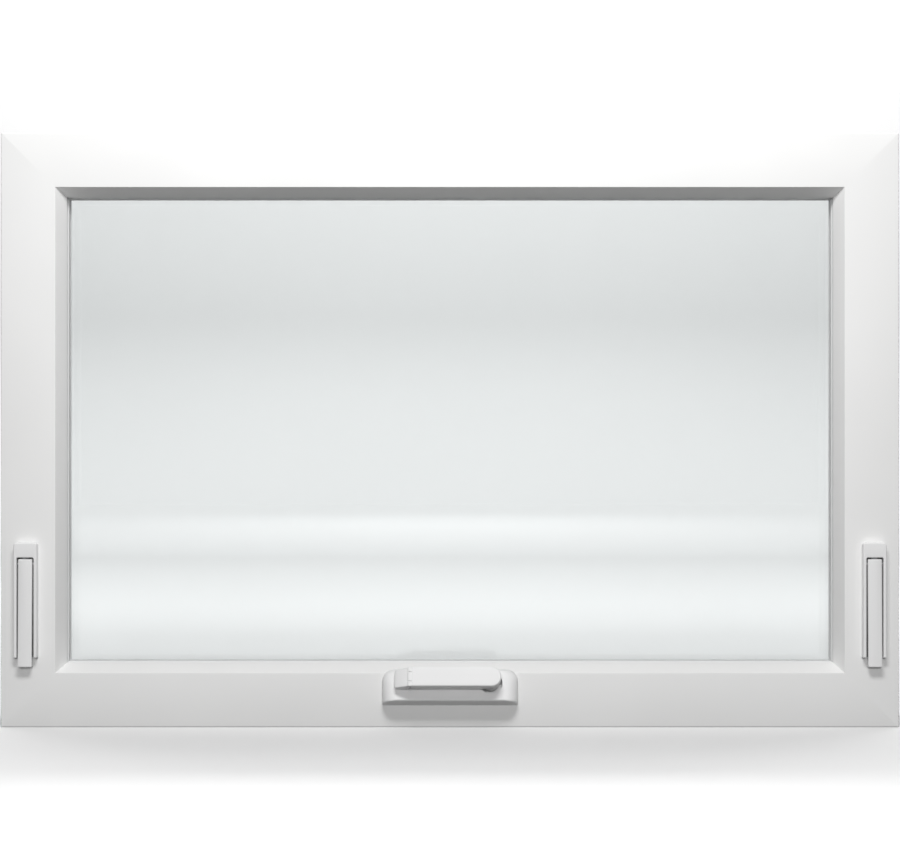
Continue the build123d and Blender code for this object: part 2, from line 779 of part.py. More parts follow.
def plate_screws(side):
    """Screws that hold both plates to the stile."""
    x = at_u(side, PLATE_U)
    y = ROOM_FACE + LEG_FACE + PLATE_LEG_OVERLAP / 2
    levels = (SHOE_Z, HINGE_LEVEL + STAY_LENGTH)
    spots = [z - drop for z in levels for drop in PLATE_SCREW_DROPS]
    return [screw((x, y, z), (-side, 0, 0), PLATE_SCREW_LENGTH) for z in spots]


def shoe_pins():
    """The pins that turn in the shoes."""
    pins = []
    for side in SIDES:
        start = (at_u(side, PLATE_U), STAY_Y, SHOE_Z)
        length = HARDWARE_GAP - SASH_PLATE - TRACK_BASE - SHOE_CLEARANCE
        collar = rod(start, (side, 0, 0), SHOE_PIN_COLLAR, COLLAR_RADIUS)
        pins.append(rod(start, (side, 0, 0), length, PIN_RADIUS) + collar)
    return pins


def arm_pins():
    """The pins on the sash that the support arms hold."""
    pins = []
    for side in SIDES:
        start = (at_u(side, PLATE_U), STAY_Y, HINGE_LEVEL + STAY_LENGTH)
        gap = HARDWARE_GAP - SASH_PLATE - STAY_STANDOFF - STRIP
        collar = rod(start, (side, 0, 0), gap - SIDE_PLAY, COLLAR_RADIUS)
        pins.append(rod(start, (side, 0, 0), gap + STRIP + SIDE_PLAY, PIN_RADIUS) + collar)
    return pins


# ---------------------------------------------------------------- operator


def operator_case():
    """The casting: a barrel for the shaft, a plate over the gears and a face plate."""
    plate_z = GEAR_TOP + CASE_TOP_GAP
    length = BARREL_END - BARREL_START
    body = rod(on_shaft(BARREL_START), SHAFT_AXIS, length, BARREL_RADIUS)
    top = depth_block(
        SHAFT_X - OPERATOR_PLATE_HALF,
        SHAFT_X + OPERATOR_PLATE_HALF,
        FLANGE_DEPTH - WALL + 2 * HAIR,
        LEG_FACE - CASE_TOP_BACK_GAP,
        plate_z,
        plate_z + CASE_TOP,
    )
    worm_room = WORM_RADIUS + THREAD_RISE + OVERCUT
    top -= rod(on_shaft(-WORM_LENGTH), SHAFT_AXIS, 3 * WORM_LENGTH, worm_room)
    face = depth_block(
        SHAFT_X - CASE_FACE_LEFT,
        SHAFT_X + CASE_FACE_RIGHT,
        -CASE_FACE,
        0,
        COVER_LOW + CASE_FACE_INSET,
        COVER_HIGH - CASE_FACE_INSET,
    )
    body += top
    body += face
    body -= depth_block(
        SHAFT_X - BARREL_RADIUS,
        SHAFT_X + BARREL_RADIUS,
        FLANGE_DEPTH - SIDE_PLAY,
        LEG_FACE,
        LEG_END - RIVET_LOW_REACH,
        BARREL_RELIEF_TOP,
    )
    bore_start = on_shaft(BARREL_START - OVERCUT)
    body -= rod(bore_start, SHAFT_AXIS, length + 2 * OVERCUT, SHAFT_RADIUS + RUNNING)
    body = cleared(body, operator_screws())
    for side in SIDES:
        body -= gear_post(side)
    return body


def operator_screws():
    """Screws through the face plate into the sill."""
    z = (COVER_LOW + COVER_HIGH) / 2
    left = SHAFT_X - CASE_FACE_LEFT + CASE_SCREW_INSET
    right = SHAFT_X + CASE_FACE_RIGHT - CASE_SCREW_INSET
    y = ROOM_FACE - CASE_FACE
    return [screw((x, y, z), (0, 1, 0), SCREW_LONG) for x in (left, right)]


def gear_post(side):
    """The upright post that a gear turns on, with a foot under the gear."""
    x, y = gear_centre(side)
    top = GEAR_TOP + CASE_TOP_GAP + CASE_TOP
    foot = GEAR_LOW - POST_FOOT_GAP
    post = rod((x, y, foot), (0, 0, 1), top - foot, POST_RADIUS)
    return post + rod((x, y, foot), (0, 0, 1), POST_FOOT_THICK, COLLAR_RADIUS)


def gear_arm(side):
    """A toothed sector and its long arm, cut from one plate."""
    x, y = gear_centre(side)
    end = x + side * STAY_LENGTH
    body = bar_with_eyes(x, end, y, GEAR_LOW, GEAR_TOP, ARM_WIDTH)
    body += rod((x, y, GEAR_LOW), (0, 0, 1), GEAR_THICK, GEAR_HUB_RADIUS)
    body += gear_sector(side)
    low, length = GEAR_LOW - OVERCUT, GEAR_THICK + 2 * OVERCUT
    body -= rod((x, y, low), (0, 0, 1), length, POST_RADIUS + RUNNING)
    body -= rod((end, y, low), (0, 0, 1), length, PIN_RADIUS)
    return body


def link(side):
    """The bar that folds back from the arm's end to the sash bracket."""
    x, y = gear_centre(side)
    end = x + side * STAY_LENGTH
    body = bar_with_eyes(x, end, y, LINK_LOW, LINK_TOP, LINK_WIDTH)
    low, length = LINK_LOW - OVERCUT, LINK_THICK + 2 * OVERCUT
    for place, gap in ((x, OPEN_PIVOT), (end, RUNNING)):
        body -= rod((place, y, low), (0, 0, 1), length, PIN_RADIUS + gap)
    return body


def link_rivet(side):
    """The rivet that joins an arm and its link."""
    x, y = gear_centre(side)
    place = x + side * STAY_LENGTH
    foot = LINK_LOW - RIVET_LOW_REACH
    shank = rod((place, y, foot), (0, 0, 1), GEAR_TOP - foot, PIN_RADIUS)
    under = LINK_TOP + RIVET_WASHER_GAP
    washer = rod((place, y, under), (0, 0, 1), LINK_GAP - RIVET_WASHER_GAP, COLLAR_RADIUS)
    base = LINK_LOW - RIVET_WASHER_GAP - COLLAR_THICK
    low = rod((place, y, base), (0, 0, 1), COLLAR_THICK, COLLAR_RADIUS)
    high = rod((place, y, GEAR_TOP), (0, 0, 1), COLLAR_THICK, COLLAR_RADIUS)
    return shank + washer + low + high


def bracket_reach():
    """Half the bracket's length, from the shaft to just past a link's pin."""
    return gear_centre(1)[0] - SHAFT_X + BRACKET_END


def sash_bracket():
    """The level bracket that carries both link pins and hinges on the sash."""
    reach = bracket_reach()
    x0, x1 = SHAFT_X - reach, SHAFT_X + reach
    y0, y1 = STAY_Y - BRACKET_HALF_DEPTH, STAY_Y + BRACKET_HALF_DEPTH
    body = block(x0, x1, y0, y1, BRACKET_TOP - BRACKET_THICK, BRACKET_TOP)
    knuckle = (x0, STAY_Y, HINGE_LEVEL)
    body += rod(knuckle, (1, 0, 0), 2 * reach, BRACKET_HINGE_RADIUS + BRACKET_KNUCKLE_WALL)
    body -= rod(knuckle, (1, 0, 0), 2 * reach, BRACKET_HINGE_RADIUS + RUNNING)
    half = WORM_RADIUS + THREAD_RISE + BRACKET_TROUGH_SIDE
    floor = HINGE_LEVEL + BRACKET_HINGE_RADIUS + BRACKET_TROUGH_FLOOR
    body -= block(SHAFT_X - half, SHAFT_X + half, STAY_Y - half, STAY_Y + half, floor, LINK_TOP)
    for side in SIDES:
        body -= bracket_pin(side)
    return body


def bracket_pin(side):
    """The upright pin that a link's eye turns on."""
    x, y = gear_centre(side)
    collar = rod((x, y, BRACKET_TOP), (0, 0, 1), BRACKET_LINK_GAP - SIDE_PLAY, COLLAR_RADIUS)
    foot = BRACKET_TOP - BRACKET_PIN_BITE
    return collar + rod((x, y, foot), (0, 0, 1), LINK_TOP - foot, PIN_RADIUS)


def bracket_ears():
    """Two ears on the sash's bottom rail that hold the bracket's hinge pin."""
    reach = bracket_reach() + BRACKET_EAR_GAP
    back = ROOM_FACE + LEG_FACE
    low = HINGE_LEVEL - EAR_RADIUS
    ears = []
    for side in SIDES:
        near = SHAFT_X + side * reach
        x0, x1 = sorted((near, near + side * EAR_THICK))
        ear = block(x0, x1, STAY_Y, back, low, HINGE_LEVEL + EAR_BAR_RISE)
        ear += rod((x0, STAY_Y, HINGE_LEVEL), (1, 0, 0), EAR_THICK, EAR_RADIUS)
        f0, f1 = sorted((near, near + side * EAR_FOOT_LENGTH))
        ear += block(f0, f1, back - EAR_FOOT_THICK, back, low, SASH_EDGE + EAR_FOOT_RISE)
        ear -= rod((x0, STAY_Y, HINGE_LEVEL), (1, 0, 0), EAR_THICK, BRACKET_HINGE_RADIUS)
        ears.append(cleared(ear, bracket_screws()))
    return Compound(children=ears)


def bracket_screws():
    """Screws that hold the ears to the bottom rail."""
    reach = bracket_reach() + BRACKET_EAR_GAP + EAR_SCREW_ALONG
    y = ROOM_FACE + LEG_FACE - EAR_FOOT_THICK
    z = SASH_EDGE + EAR_SCREW_RISE
    xs = (SHAFT_X - reach, SHAFT_X + reach)
    return [screw((x, y, z), (0, 1, 0), SCREW_SHORT) for x in xs]


def bracket_hinge_pin():
    """The pin along X between the two ears."""
    reach = bracket_reach() + BRACKET_EAR_GAP + EAR_THICK
    return rod((SHAFT_X - reach, STAY_Y, HINGE_LEVEL), (1, 0, 0), 2 * reach, BRACKET_HINGE_RADIUS)


def worm_shaft():
    """The shaft with its worm, a thrust collar and the end in the crank."""
    start = -WORM_LENGTH / 2 + BRACKET_TROUGH_FLOOR
    body = rod(on_shaft(start), SHAFT_AXIS, CRANK_BACK + SHAFT_IN_CRANK - start, SHAFT_RADIUS)
    place = on_shaft(WORM_LENGTH / 2 + THRUST_COLLAR_GAP)
    radius = SHAFT_RADIUS + THRUST_COLLAR_RISE
    collar = rod(place, SHAFT_AXIS, THRUST_COLLAR_LENGTH, radius)
    return body + worm() + collar


# ---------------------------------------------------------------- crank


def in_crank(x0, x1, up0, up1, along0, along1):
    """A box in the crank's own directions, X given from the hub."""
    size = Box(x1 - x0, up1 - up0, along1 - along0)
    place = Pos((x0 + x1) / 2, (up0 + up1) / 2, (along0 + along1) / 2)
    return shaft_plane(0) * (place * size)


KNOB_HINGE_X = -(SHAFT_X + CRANK_FREE_END + KNOB_GAP / 2)
KNOB_HINGE_ALONG = CRANK_FRONT - KNUCKLE_RADIUS


def across_rod(up0, up1, radius):
    """A round bar on the knob's hinge line."""
    start = on_shaft(KNOB_HINGE_ALONG, up0, KNOB_HINGE_X)
    return rod(start, CRANK_UP, up1 - up0, radius)


def crank_arm():
    """The hub, the bar and the two lugs that hold the knob's pin."""
    half = CRANK_WIDTH / 2
    end = -(SHAFT_X + CRANK_FREE_END)
    step = CRANK_BACK + (CRANK_FRONT - CRANK_BACK) * CRANK_PARTING
    front = in_crank(end, 0, -half, half, step, CRANK_FRONT)
    front += rod(on_shaft(step), SHAFT_AXIS, CRANK_FRONT - step, half)
    slim = half - CRANK_REAR_STEP
    rear = in_crank(end, 0, -slim, slim, CRANK_BACK, step)
    rear += rod(on_shaft(CRANK_BACK), SHAFT_AXIS, step - CRANK_BACK, slim)
    body = front + rear
    body += rod(on_shaft(CRANK_BACK - HUB_LENGTH), SHAFT_AXIS, HUB_LENGTH, half - HUB_STEP)
    beyond = half + OVERCUT
    body -= across_rod(-beyond, beyond, KNUCKLE_RADIUS + KNUCKLE_CLEARANCE)
    inner = KNUCKLE_HALF + LUG_GAP
    for low, high in ((-half, -inner), (inner, half)):
        lug = across_rod(low, high, KNUCKLE_RADIUS)
        web = in_crank(KNOB_HINGE_X, end + LUG_WEB, low, high, KNOB_HINGE_ALONG, CRANK_FRONT)
        body += lug + web
    body -= across_rod(-beyond, beyond, KNOB_PIN_RADIUS)
    bore = HUB_LENGTH + OVERCUT
    body -= rod(on_shaft(CRANK_BACK - bore), SHAFT_AXIS, bore + SHAFT_IN_CRANK, SHAFT_RADIUS)
    return body - set_screw_rod(half - SHAFT_RADIUS / 2)


def set_screw_rod(length):
    """A round bar on the set screw's line, from the crank's lower side."""
    start = on_shaft(CRANK_BACK + SET_SCREW_ALONG, -CRANK_WIDTH / 2 + CRANK_REAR_STEP)
    return rod(start, CRANK_UP, length, SET_SCREW_RADIUS)


def set_screw():
    """The screw that locks the crank to the shaft."""
    return set_screw_rod(CRANK_WIDTH / 2 - CRANK_REAR_STEP - SHAFT_RADIUS)


def knob():
    """The end piece that folds out to make the grip."""
    half = CRANK_WIDTH / 2
    near = -(SHAFT_X + CRANK_FREE_END + KNOB_GAP)
    far = -(SHAFT_X + KNOB_END)
    outline = [
        (near, CRANK_BACK),
        (near, CRANK_FRONT - KNOB_FACE_STEP),
        (far, CRANK_FRONT - KNOB_SLOPE),
        (far, CRANK_BACK),
    ]
    face = make_face(Polyline(*[on_shaft(a, -half, x) for x, a in outline], close=True))
    body = extrude(face, CRANK_WIDTH, dir=tuple(CRANK_UP))
    clear = KNUCKLE_RADIUS + KNUCKLE_CLEARANCE
    beyond = half + OVERCUT
    for low, high in ((-beyond, -KNUCKLE_HALF), (KNUCKLE_HALF, beyond)):
        body -= across_rod(low, high, clear)
    body += across_rod(-KNUCKLE_HALF, KNUCKLE_HALF, KNUCKLE_RADIUS)
    return body - across_rod(-beyond, beyond, KNOB_PIN_RADIUS + RUNNING)


def knob_pin():
    """The pin of the folding knob."""
    return across_rod(-CRANK_WIDTH / 2, CRANK_WIDTH / 2, KNOB_PIN_RADIUS)


def cover_profile(wall):
    """The cover's side outline as (y, z): flat foot, sloping front, level top."""
    along = CRANK_BACK - COVER_CLEARANCE - wall
    low = COVER_LOW + wall
    low_front = COVER_LOW + COVER_LOW_RISE + wall
    high = COVER_HIGH - wall

    def front(z):
        up = (z - GEAR_LEVEL - along * math.sin(TILT)) / math.cos(TILT)
        return on_shaft(along, up).Y

    back = ROOM_FACE if wall == 0 else ROOM_FACE + OVERCUT
    return [(back, low), (front(low_front), low_front), (front(high), high), (back, high)]


def cover_form(wall):
    """The cover's form, drawn in by a wall: rounded top corners and rounded ends."""
    profile = cover_profile(wall)
    half = COVER_HALF_WIDTH - wall
    front = ROOM_FACE - min(y for y, z in profile)
    wedge = side_plate(profile, -half, half)
    top = RectangleRounded(2 * half, 2 * (COVER_HIGH - wall), COVER_CORNER - wall)
    plan = RectangleRounded(2 * half, 2 * front, COVER_END_RADIUS - wall)
    upright = extrude(Pos(0, ROOM_FACE, 0) * plan, 2 * COVER_HIGH)
    return wedge & extrude(Plane.XZ * top, FRAME_DEPTH, both=True) & upright


def operator_cover():
    """The wedge-shaped shell over the operator, with the crank's round pocket."""
    body = cover_form(0) - cover_form(COVER_WALL)
    return body - rod(on_shaft(POCKET_START), SHAFT_AXIS, CRANK_BACK, POCKET_RADIUS)


# ---------------------------------------------------------------- locks


def lock_point(radius, angle):
    """A (y, z) point about the lever's pin, angles in degrees up from outdoors."""
    turn = math.radians(angle)
    y = ROOM_FACE - LEVER_PIVOT_RISE + radius * math.cos(turn)
    return y, LEVER_PIVOT + radius * math.sin(turn)


def lock_housing(side):
    """A base plate, two side walls and a cap, with the slot for the lever."""
    x = side * LOCK_X
    half = LOCK_WIDTH / 2
    slot = LOCK_SLOT_WIDTH / 2
    body = depth_block(x - half, x + half, -LOCK_RISE, 0, LOCK_LOW, LOCK_HIGH)
    tops = body.edges().filter_by(Axis.Y).group_by(Axis.Z)[-1]
    body = fillet(tops, LOCK_CORNER)
    front, top = -LOCK_RISE - OVERCUT, LOCK_HIGH - LOCK_CAP
    body -= depth_block(x - slot, x + slot, front, -LOCK_BASE, LOCK_LOW - OVERCUT, top)
    reach = LEVER_END_RADIUS + LOCK_PIVOT_ROOM
    low, high = LEVER_PIVOT - reach, LEVER_PIVOT + reach
    body -= depth_block(x - slot, x + slot, -LOCK_BASE - OVERCUT, OVERCUT, low, high)
    hook = HOOK_WIDTH / 2 + HOOK_SIDE_GAP
    low, high = LEVER_PIVOT - HOOK_SLOT_DROP, LOCK_HIGH - LOCK_TOP_WALL
    body -= depth_block(x - hook, x + hook, LOCK_CAP_WALL - LOCK_RISE, OVERCUT, low, high)
    start = (x - half - OVERCUT, *pin_place())
    body -= rod(start, (1, 0, 0), LOCK_WIDTH + 2 * OVERCUT, LOCK_PIN_RADIUS)
    return cleared(body, lock_screws(side))


def pin_place():
    """The lever pin's y and z."""
    return ROOM_FACE - LEVER_PIVOT_RISE, LEVER_PIVOT


def lock_screws(side):
    """Screws through the base plate into the jamb."""
    x = side * LOCK_X
    y = ROOM_FACE - LOCK_BASE + SCREW_HEAD_RISE
    heights = (LOCK_LOW + LOCK_SCREW_LOW, LOCK_LOW + LOCK_SCREW_HIGH)
    return [screw((x, y, z), (0, 1, 0), SCREW_SHORT) for z in heights]


def lock_lever(side):
    """The thumb lever, round about its pin and thinner at the tip."""
    x = side * LOCK_X
    y, z = pin_place()
    back = ROOM_FACE - LOCK_BASE - LEVER_GAP
    front = back - LEVER_THICK
    outline = [
        (back, z),
        (front, z),
        (front - LEVER_TIP_LIP, LEVER_TIP + LEVER_TIP_LIP_LENGTH),
        (front, LEVER_TIP),
        (back - LEVER_TIP_LIFT, LEVER_TIP),
        (back, LEVER_TIP + LEVER_THIN_LENGTH),
    ]
    half = LEVER_WIDTH / 2
    body = side_plate(outline, x - half, x + half)
    body += rod((x - half, y, z), (1, 0, 0), LEVER_WIDTH, LEVER_END_RADIUS)
    hook = HOOK_WIDTH / 2
    low, high = LEVER_PIVOT - LEVER_HOOK_DROP, LEVER_PIVOT + HOOK_SLOT_DROP
    body -= depth_block(x - hook, x + hook, LEVER_GAP - LOCK_RISE, OVERCUT, low, high)
    bore = LOCK_PIN_RADIUS + RUNNING
    return body - rod((x - LEVER_WIDTH, y, z), (1, 0, 0), 2 * LEVER_WIDTH, bore)


def lock_hook(side):
    """The hook that turns with the lever: a hub, an arm and a curved claw."""
    x0 = side * LOCK_X - HOOK_WIDTH / 2
    middle = HOOK_REST_ANGLE
    first = middle + HOOK_ARM_SPREAD
    turns = [first - i * HOOK_CLAW_STEP for i in range(4)]
    claw = [lock_point(HOOK_INNER, turn) for turn in turns]
    claw += [lock_point(HOOK_OUTER, turn) for turn in reversed(turns)]
    arm = [
        lock_point(HOOK_ARM_HALF, middle + 90),
        lock_point(HOOK_OUTER, first),
        lock_point(HOOK_OUTER, middle - HOOK_ARM_SPREAD),
        lock_point(HOOK_ARM_HALF, middle - 90),
    ]
    y, z = pin_place()
    body = side_plate(claw, x0, x0 + HOOK_WIDTH) + side_plate(arm, x0, x0 + HOOK_WIDTH)
    body += rod((x0, y, z), (1, 0, 0), HOOK_WIDTH, HOOK_HUB_RADIUS)
    bore = LOCK_PIN_RADIUS + RUNNING
    return body - rod((x0 - OVERCUT, y, z), (1, 0, 0), HOOK_WIDTH + 2 * OVERCUT, bore)


def lock_pins():
    """The pins across both housings."""
    length = LOCK_WIDTH - OVERCUT
    pins = []
    for side in SIDES:
        x = side * LOCK_X - length / 2
        pins.append(rod((x, *pin_place()), (1, 0, 0), length, LOCK_PIN_RADIUS))
    return Compound(children=pins)


def keeper(side):
    """The sash's catch: a foot, a cheek and a cantilevered bar for the hook."""
    near = LOCK_INSET + KEEPER_CHEEK_GAP
    far = near + KEEPER_CHEEK
    y, z = lock_point(KEEPER_REACH, HOOK_REST_ANGLE - 90 - KEEPER_LAG)
    low, high = z - KEEPER_CHEEK_HALF, z + KEEPER_CHEEK_HALF
    front = y - ROOM_FACE - KEEPER_RADIUS
    body = depth_block(at_u(side, near), at_u(side, far), front, LEG_FACE, low, high)
    low, high = z - KEEPER_FOOT_HALF, z + KEEPER_FOOT_HALF
    front = LEG_FACE - KEEPER_FOOT_THICK
    body += depth_block(at_u(side, SASH_EDGE), at_u(side, LEG_END), front, LEG_FACE, low, high)
    start = (at_u(side, far), y, z)
    body += rod(start, (side, 0, 0), far - LOCK_INSET + KEEPER_TIP, KEEPER_RADIUS)
    return cleared(body, keeper_screws(side))


def keeper_screws(side):
    """Screws that hold a keeper to the stile."""
    z = lock_point(KEEPER_REACH, HOOK_REST_ANGLE - 90 - KEEPER_LAG)[1]
    x = at_u(side, SASH_EDGE + KEEPER_SCREW_EDGE)
    y = ROOM_FACE + LEG_FACE - KEEPER_FOOT_THICK
    spots = (z - KEEPER_SCREW_HALF, z + KEEPER_SCREW_HALF)
    return [screw((x, y, spot), (0, 1, 0), SCREW_SHORT) for spot in spots]


def every_sash_screw():
    """All the screws that enter the sash."""
    found = bracket_screws()
    for side in SIDES:
        found += plate_screws(side) + keeper_screws(side)
    return found


# ---------------------------------------------------------------- the whole unit


def build():
    """Write every sub-part."""
    os.makedirs("parts", exist_ok=True)
    parts = {}
    parts.update(frame_members())
    parts.update(sash_members())
    parts.update(glazing_beads())
    parts["frame_weatherstrip"] = ring(
        rectangle(
            LEG_END + WEATHERSTRIP_EDGE,
            REBATE - WEATHERSTRIP_EDGE,
            FLANGE_DEPTH,
            SASH_FACE - STIFFENER_FIT,
        )
    )
    parts["glass_inner"] = glass_pane(GLASS_RECESS)
    parts["glass_outer"] = glass_pane(GLASS_BACK - PANE)
    parts["glass_spacer"] = ring(
        rectangle(
            GLASS_EDGE + SPACER_INSET,
            GLASS_EDGE + SPACER_INSET + SPACER_WIDTH,
            GLASS_RECESS + PANE,
            GLASS_BACK - PANE,
        )
    )
    parts["glazing_gasket"] = ring(
        rectangle(REBATE + GASKET_EDGE, SIGHT_LINE + SPACER_INSET, BEAD_BACK, GLASS_RECESS)
    )
    parts["glazing_tape"] = ring(
        rectangle(GLASS_EDGE, OUTER_SIGHT - TAPE_EDGE, GLASS_BACK, GLASS_BACK + TAPE)
    )
    parts["setting_blocks"] = setting_blocks()
    parts["stile_stiffeners"] = stiffeners(("left", "right"))
    parts["rail_stiffeners"] = stiffeners(("low", "high"))
    parts["weep_covers"] = weep_covers()
    for side in SIDES:
        hand = SIDE_NAMES[side]
        parts["hinge_track_" + hand] = hinge_track(side)
        parts["shoe_" + hand] = shoe(side)
        parts["support_arm_" + hand] = support_arm(side)
        parts["sash_plates_" + hand] = sash_plates(side)
        parts["gear_arm_" + hand] = gear_arm(side)
        parts["link_" + hand] = link(side)
        parts["link_rivet_" + hand] = link_rivet(side)
        parts["lock_housing_" + hand] = lock_housing(side)
        parts["lock_lever_" + hand] = lock_lever(side)
        parts["lock_hook_" + hand] = lock_hook(side)
    parts["arm_pivots"] = arm_pivots()
    parts["stay_pins"] = Compound(children=shoe_pins() + arm_pins())
    parts["keepers"] = Compound(children=[keeper(side) for side in SIDES])
    parts["lock_pins"] = lock_pins()
    parts["operator_case"] = operator_case()
    parts["gear_posts"] = Compound(children=[gear_post(side) for side in SIDES])
    parts["sash_bracket"] = sash_bracket()
    parts["bracket_pins"] = Compound(children=[bracket_pin(side) for side in SIDES])
    parts["bracket_ears"] = bracket_ears()
    parts["bracket_hinge_pin"] = bracket_hinge_pin()
    parts["worm_shaft"] = worm_shaft()
    parts["crank_arm"] = crank_arm()
    parts["set_screw"] = set_screw()
    parts["knob"] = knob()
    parts["knob_pin"] = knob_pin()
    parts["operator_cover"] = operator_cover()
    frame_screws = operator_screws()
    for side in SIDES:
        frame_screws += track_screws(side) + lock_screws(side)
    parts["frame_screws"] = Compound(children=frame_screws)
    parts["sash_screws"] = Compound(children=every_sash_screw())
    for name, shape in parts.items():
        write(name, shape)


build()
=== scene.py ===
"""An awning window unit with its operator, folding crank and side locks."""

import logging
import math
from dataclasses import dataclass, field
from enum import Enum
from typing import Callable, Sequence

import bmesh
import bpy
import numpy as np
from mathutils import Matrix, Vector

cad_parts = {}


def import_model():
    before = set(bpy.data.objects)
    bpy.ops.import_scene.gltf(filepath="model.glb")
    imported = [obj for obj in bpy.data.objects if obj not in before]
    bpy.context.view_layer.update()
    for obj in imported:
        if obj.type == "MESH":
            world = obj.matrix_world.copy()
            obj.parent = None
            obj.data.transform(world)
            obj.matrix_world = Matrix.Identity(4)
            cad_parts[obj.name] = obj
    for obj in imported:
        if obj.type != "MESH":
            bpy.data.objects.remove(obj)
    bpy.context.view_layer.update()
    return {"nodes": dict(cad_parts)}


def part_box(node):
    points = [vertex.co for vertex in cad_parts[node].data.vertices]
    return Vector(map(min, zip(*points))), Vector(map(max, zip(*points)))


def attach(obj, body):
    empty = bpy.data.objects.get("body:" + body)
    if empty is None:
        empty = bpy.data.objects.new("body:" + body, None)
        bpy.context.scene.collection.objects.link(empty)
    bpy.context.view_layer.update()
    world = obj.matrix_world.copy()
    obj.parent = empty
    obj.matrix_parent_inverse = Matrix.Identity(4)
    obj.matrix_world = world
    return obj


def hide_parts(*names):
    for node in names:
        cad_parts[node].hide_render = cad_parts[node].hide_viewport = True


LOG = logging.getLogger("window")
Array = np.ndarray

MM = 0.001
MERGE_DISTANCE = 1e-7
CREASE_ANGLE = math.radians(32)
CORNER_STEPS = 6
POCKET_POINTS = 64
LUG_POINTS = 28
HUB_POINTS = 48


# ------------------------------------------------------------------ meshes


class Side(Enum):
    """One of the four sides of a framed rectangle, seen from the room."""

    HEAD = "head"
    SILL = "sill"
    LEFT = "left"
    RIGHT = "right"


def put_mesh(name: str, points: Array, faces: Sequence[Sequence[int]]) -> bpy.types.Object:
    """Make an object at the origin from points in metres.

    Args:
        name: the piece's name.
        points: an (n, 3) array of places.
        faces: corner numbers of each face.
    Returns:
        The linked object, smooth, with its sharp edges marked by angle.
    """
    mesh = bpy.data.meshes.new(name)
    mesh.from_pydata(points.tolist(), [], [list(f) for f in faces])
    body = bmesh.new()
    body.from_mesh(mesh)
    bmesh.ops.remove_doubles(body, verts=body.verts, dist=MERGE_DISTANCE)
    bmesh.ops.dissolve_degenerate(body, edges=body.edges, dist=MERGE_DISTANCE)
    wide = [f for f in body.faces if len(f.verts) > 4]
    bmesh.ops.triangulate(body, faces=wide)
    bmesh.ops.recalc_face_normals(body, faces=body.faces)
    body.to_mesh(mesh)
    body.free()
    mesh.shade_smooth()
    mesh.set_sharp_from_angle(angle=CREASE_ANGLE)
    piece = bpy.data.objects.new(name, mesh)
    bpy.context.scene.collection.objects.link(piece)
    return piece


def ring_faces(rings: int, count: int, cap: bool = True) -> list[list[int]]:
    """Quads between successive closed rings, with both ends filled.

    Args:
        rings: how many rings.
        count: points on each ring.
        cap: whether the first and last rings are filled.
    Returns:
        Faces as lists of corner numbers.
    """
    k, i = np.meshgrid(np.arange(rings - 1), np.arange(count), indexing="ij")
    j = (i + 1) % count
    quads = np.stack([k * count + i, k * count + j, (k + 1) * count + j, (k + 1) * count + i], -1)
    faces = quads.reshape(-1, 4).tolist()
    if cap:
        faces.append(list(range(count))[::-1])
        faces.append(list(range((rings - 1) * count, rings * count)))
    return faces


def rounded(points: Sequence[tuple[float, float]], radii: Sequence[float], steps: int = 5) -> Array:
    """Round the corners of a closed outline.

    Each corner becomes an arc tangent to both edges: the arc's centre lies on the corner's
    bisector at radius / sin(half the corner's angle).

    Args:
        points: the corners in order.
        radii: one radius for each corner.
        steps: segments on each arc.
    Returns:
        An (n, 2) array of points.
    """
    corners = np.asarray(points, float)
    before = np.roll(corners, 1, axis=0) - corners
    after = np.roll(corners, -1, axis=0) - corners
    before /= np.linalg.norm(before, axis=1)[:, None]
    after /= np.linalg.norm(after, axis=1)[:, None]
    out = []
    for corner, a, b, radius in zip(corners, before, after, radii):
        half = 0.5 * math.acos(float(np.clip(a @ b, -1, 1)))
        reach = radius / math.tan(half)
        start, end = corner + a * reach, corner + b * reach
        middle = corner + (a + b) / np.linalg.norm(a + b) * radius / math.sin(half)
        t = np.linspace(0, 1, steps + 1)[:, None]
        u, v = start - middle, end - middle
        span = math.pi - 2 * half
        arc = (np.sin((1 - t) * span) * u + np.sin(t * span) * v) / math.sin(span)
        out.append(middle + arc)
    return np.concatenate(out)


def member(
    name: str, profile: Array, side: Side, low: Vector, high: Vector
) -> bpy.types.Object:
    """Carry a (u, d) profile along one side and cut both ends at 45 degrees.

    A point u inwards from the outer edge is also u in from each end of the side, which is
    the mitre.  d is the depth outdoors from the room face.

    Args:
        name: the piece's name.
        profile: an (n, 2) array in metres.
        side: which side of the rectangle.
        low: the unit's lowest corner, at the room face.
        high: the unit's highest corner.
    Returns:
        The mitred piece.
    """
    u, d = profile[:, 0], profile[:, 1]
    y = low.y + d
    ends = []
    for end in (0, 1):
        if side in (Side.LEFT, Side.RIGHT):
            x = low.x + u if side is Side.LEFT else high.x - u
            z = low.z + u if end == 0 else high.z - u
        else:
            z = low.z + u if side is Side.SILL else high.z - u
            x = low.x + u if end == 0 else high.x - u
        ends.append(np.stack([x, y, z], axis=1))
    return put_mesh(name, np.concatenate(ends), ring_faces(2, len(profile)))


def stack(
    name: str,
    outline: Callable[[float], Array],
    profile: Sequence[tuple[float, float]],
    place: Callable[[Array, float], Array],
) -> bpy.types.Object:
    """Build a moulded body: one outline, drawn in as it rises.

    Ring k is the outline set in by profile[k][0] and lifted to profile[k][1].

    Args:
        name: the piece's name.
        outline: gives the outline as (n, 2) points for an inset.
        profile: (inset, height) pairs from the back to the front.
        place: turns plan points and a height into places in metres.
    Returns:
        The closed piece.
    """
    rings = [place(outline(inset), height) for inset, height in profile]
    count = len(rings[0])
    return put_mesh(name, np.concatenate(rings), ring_faces(len(rings), count))


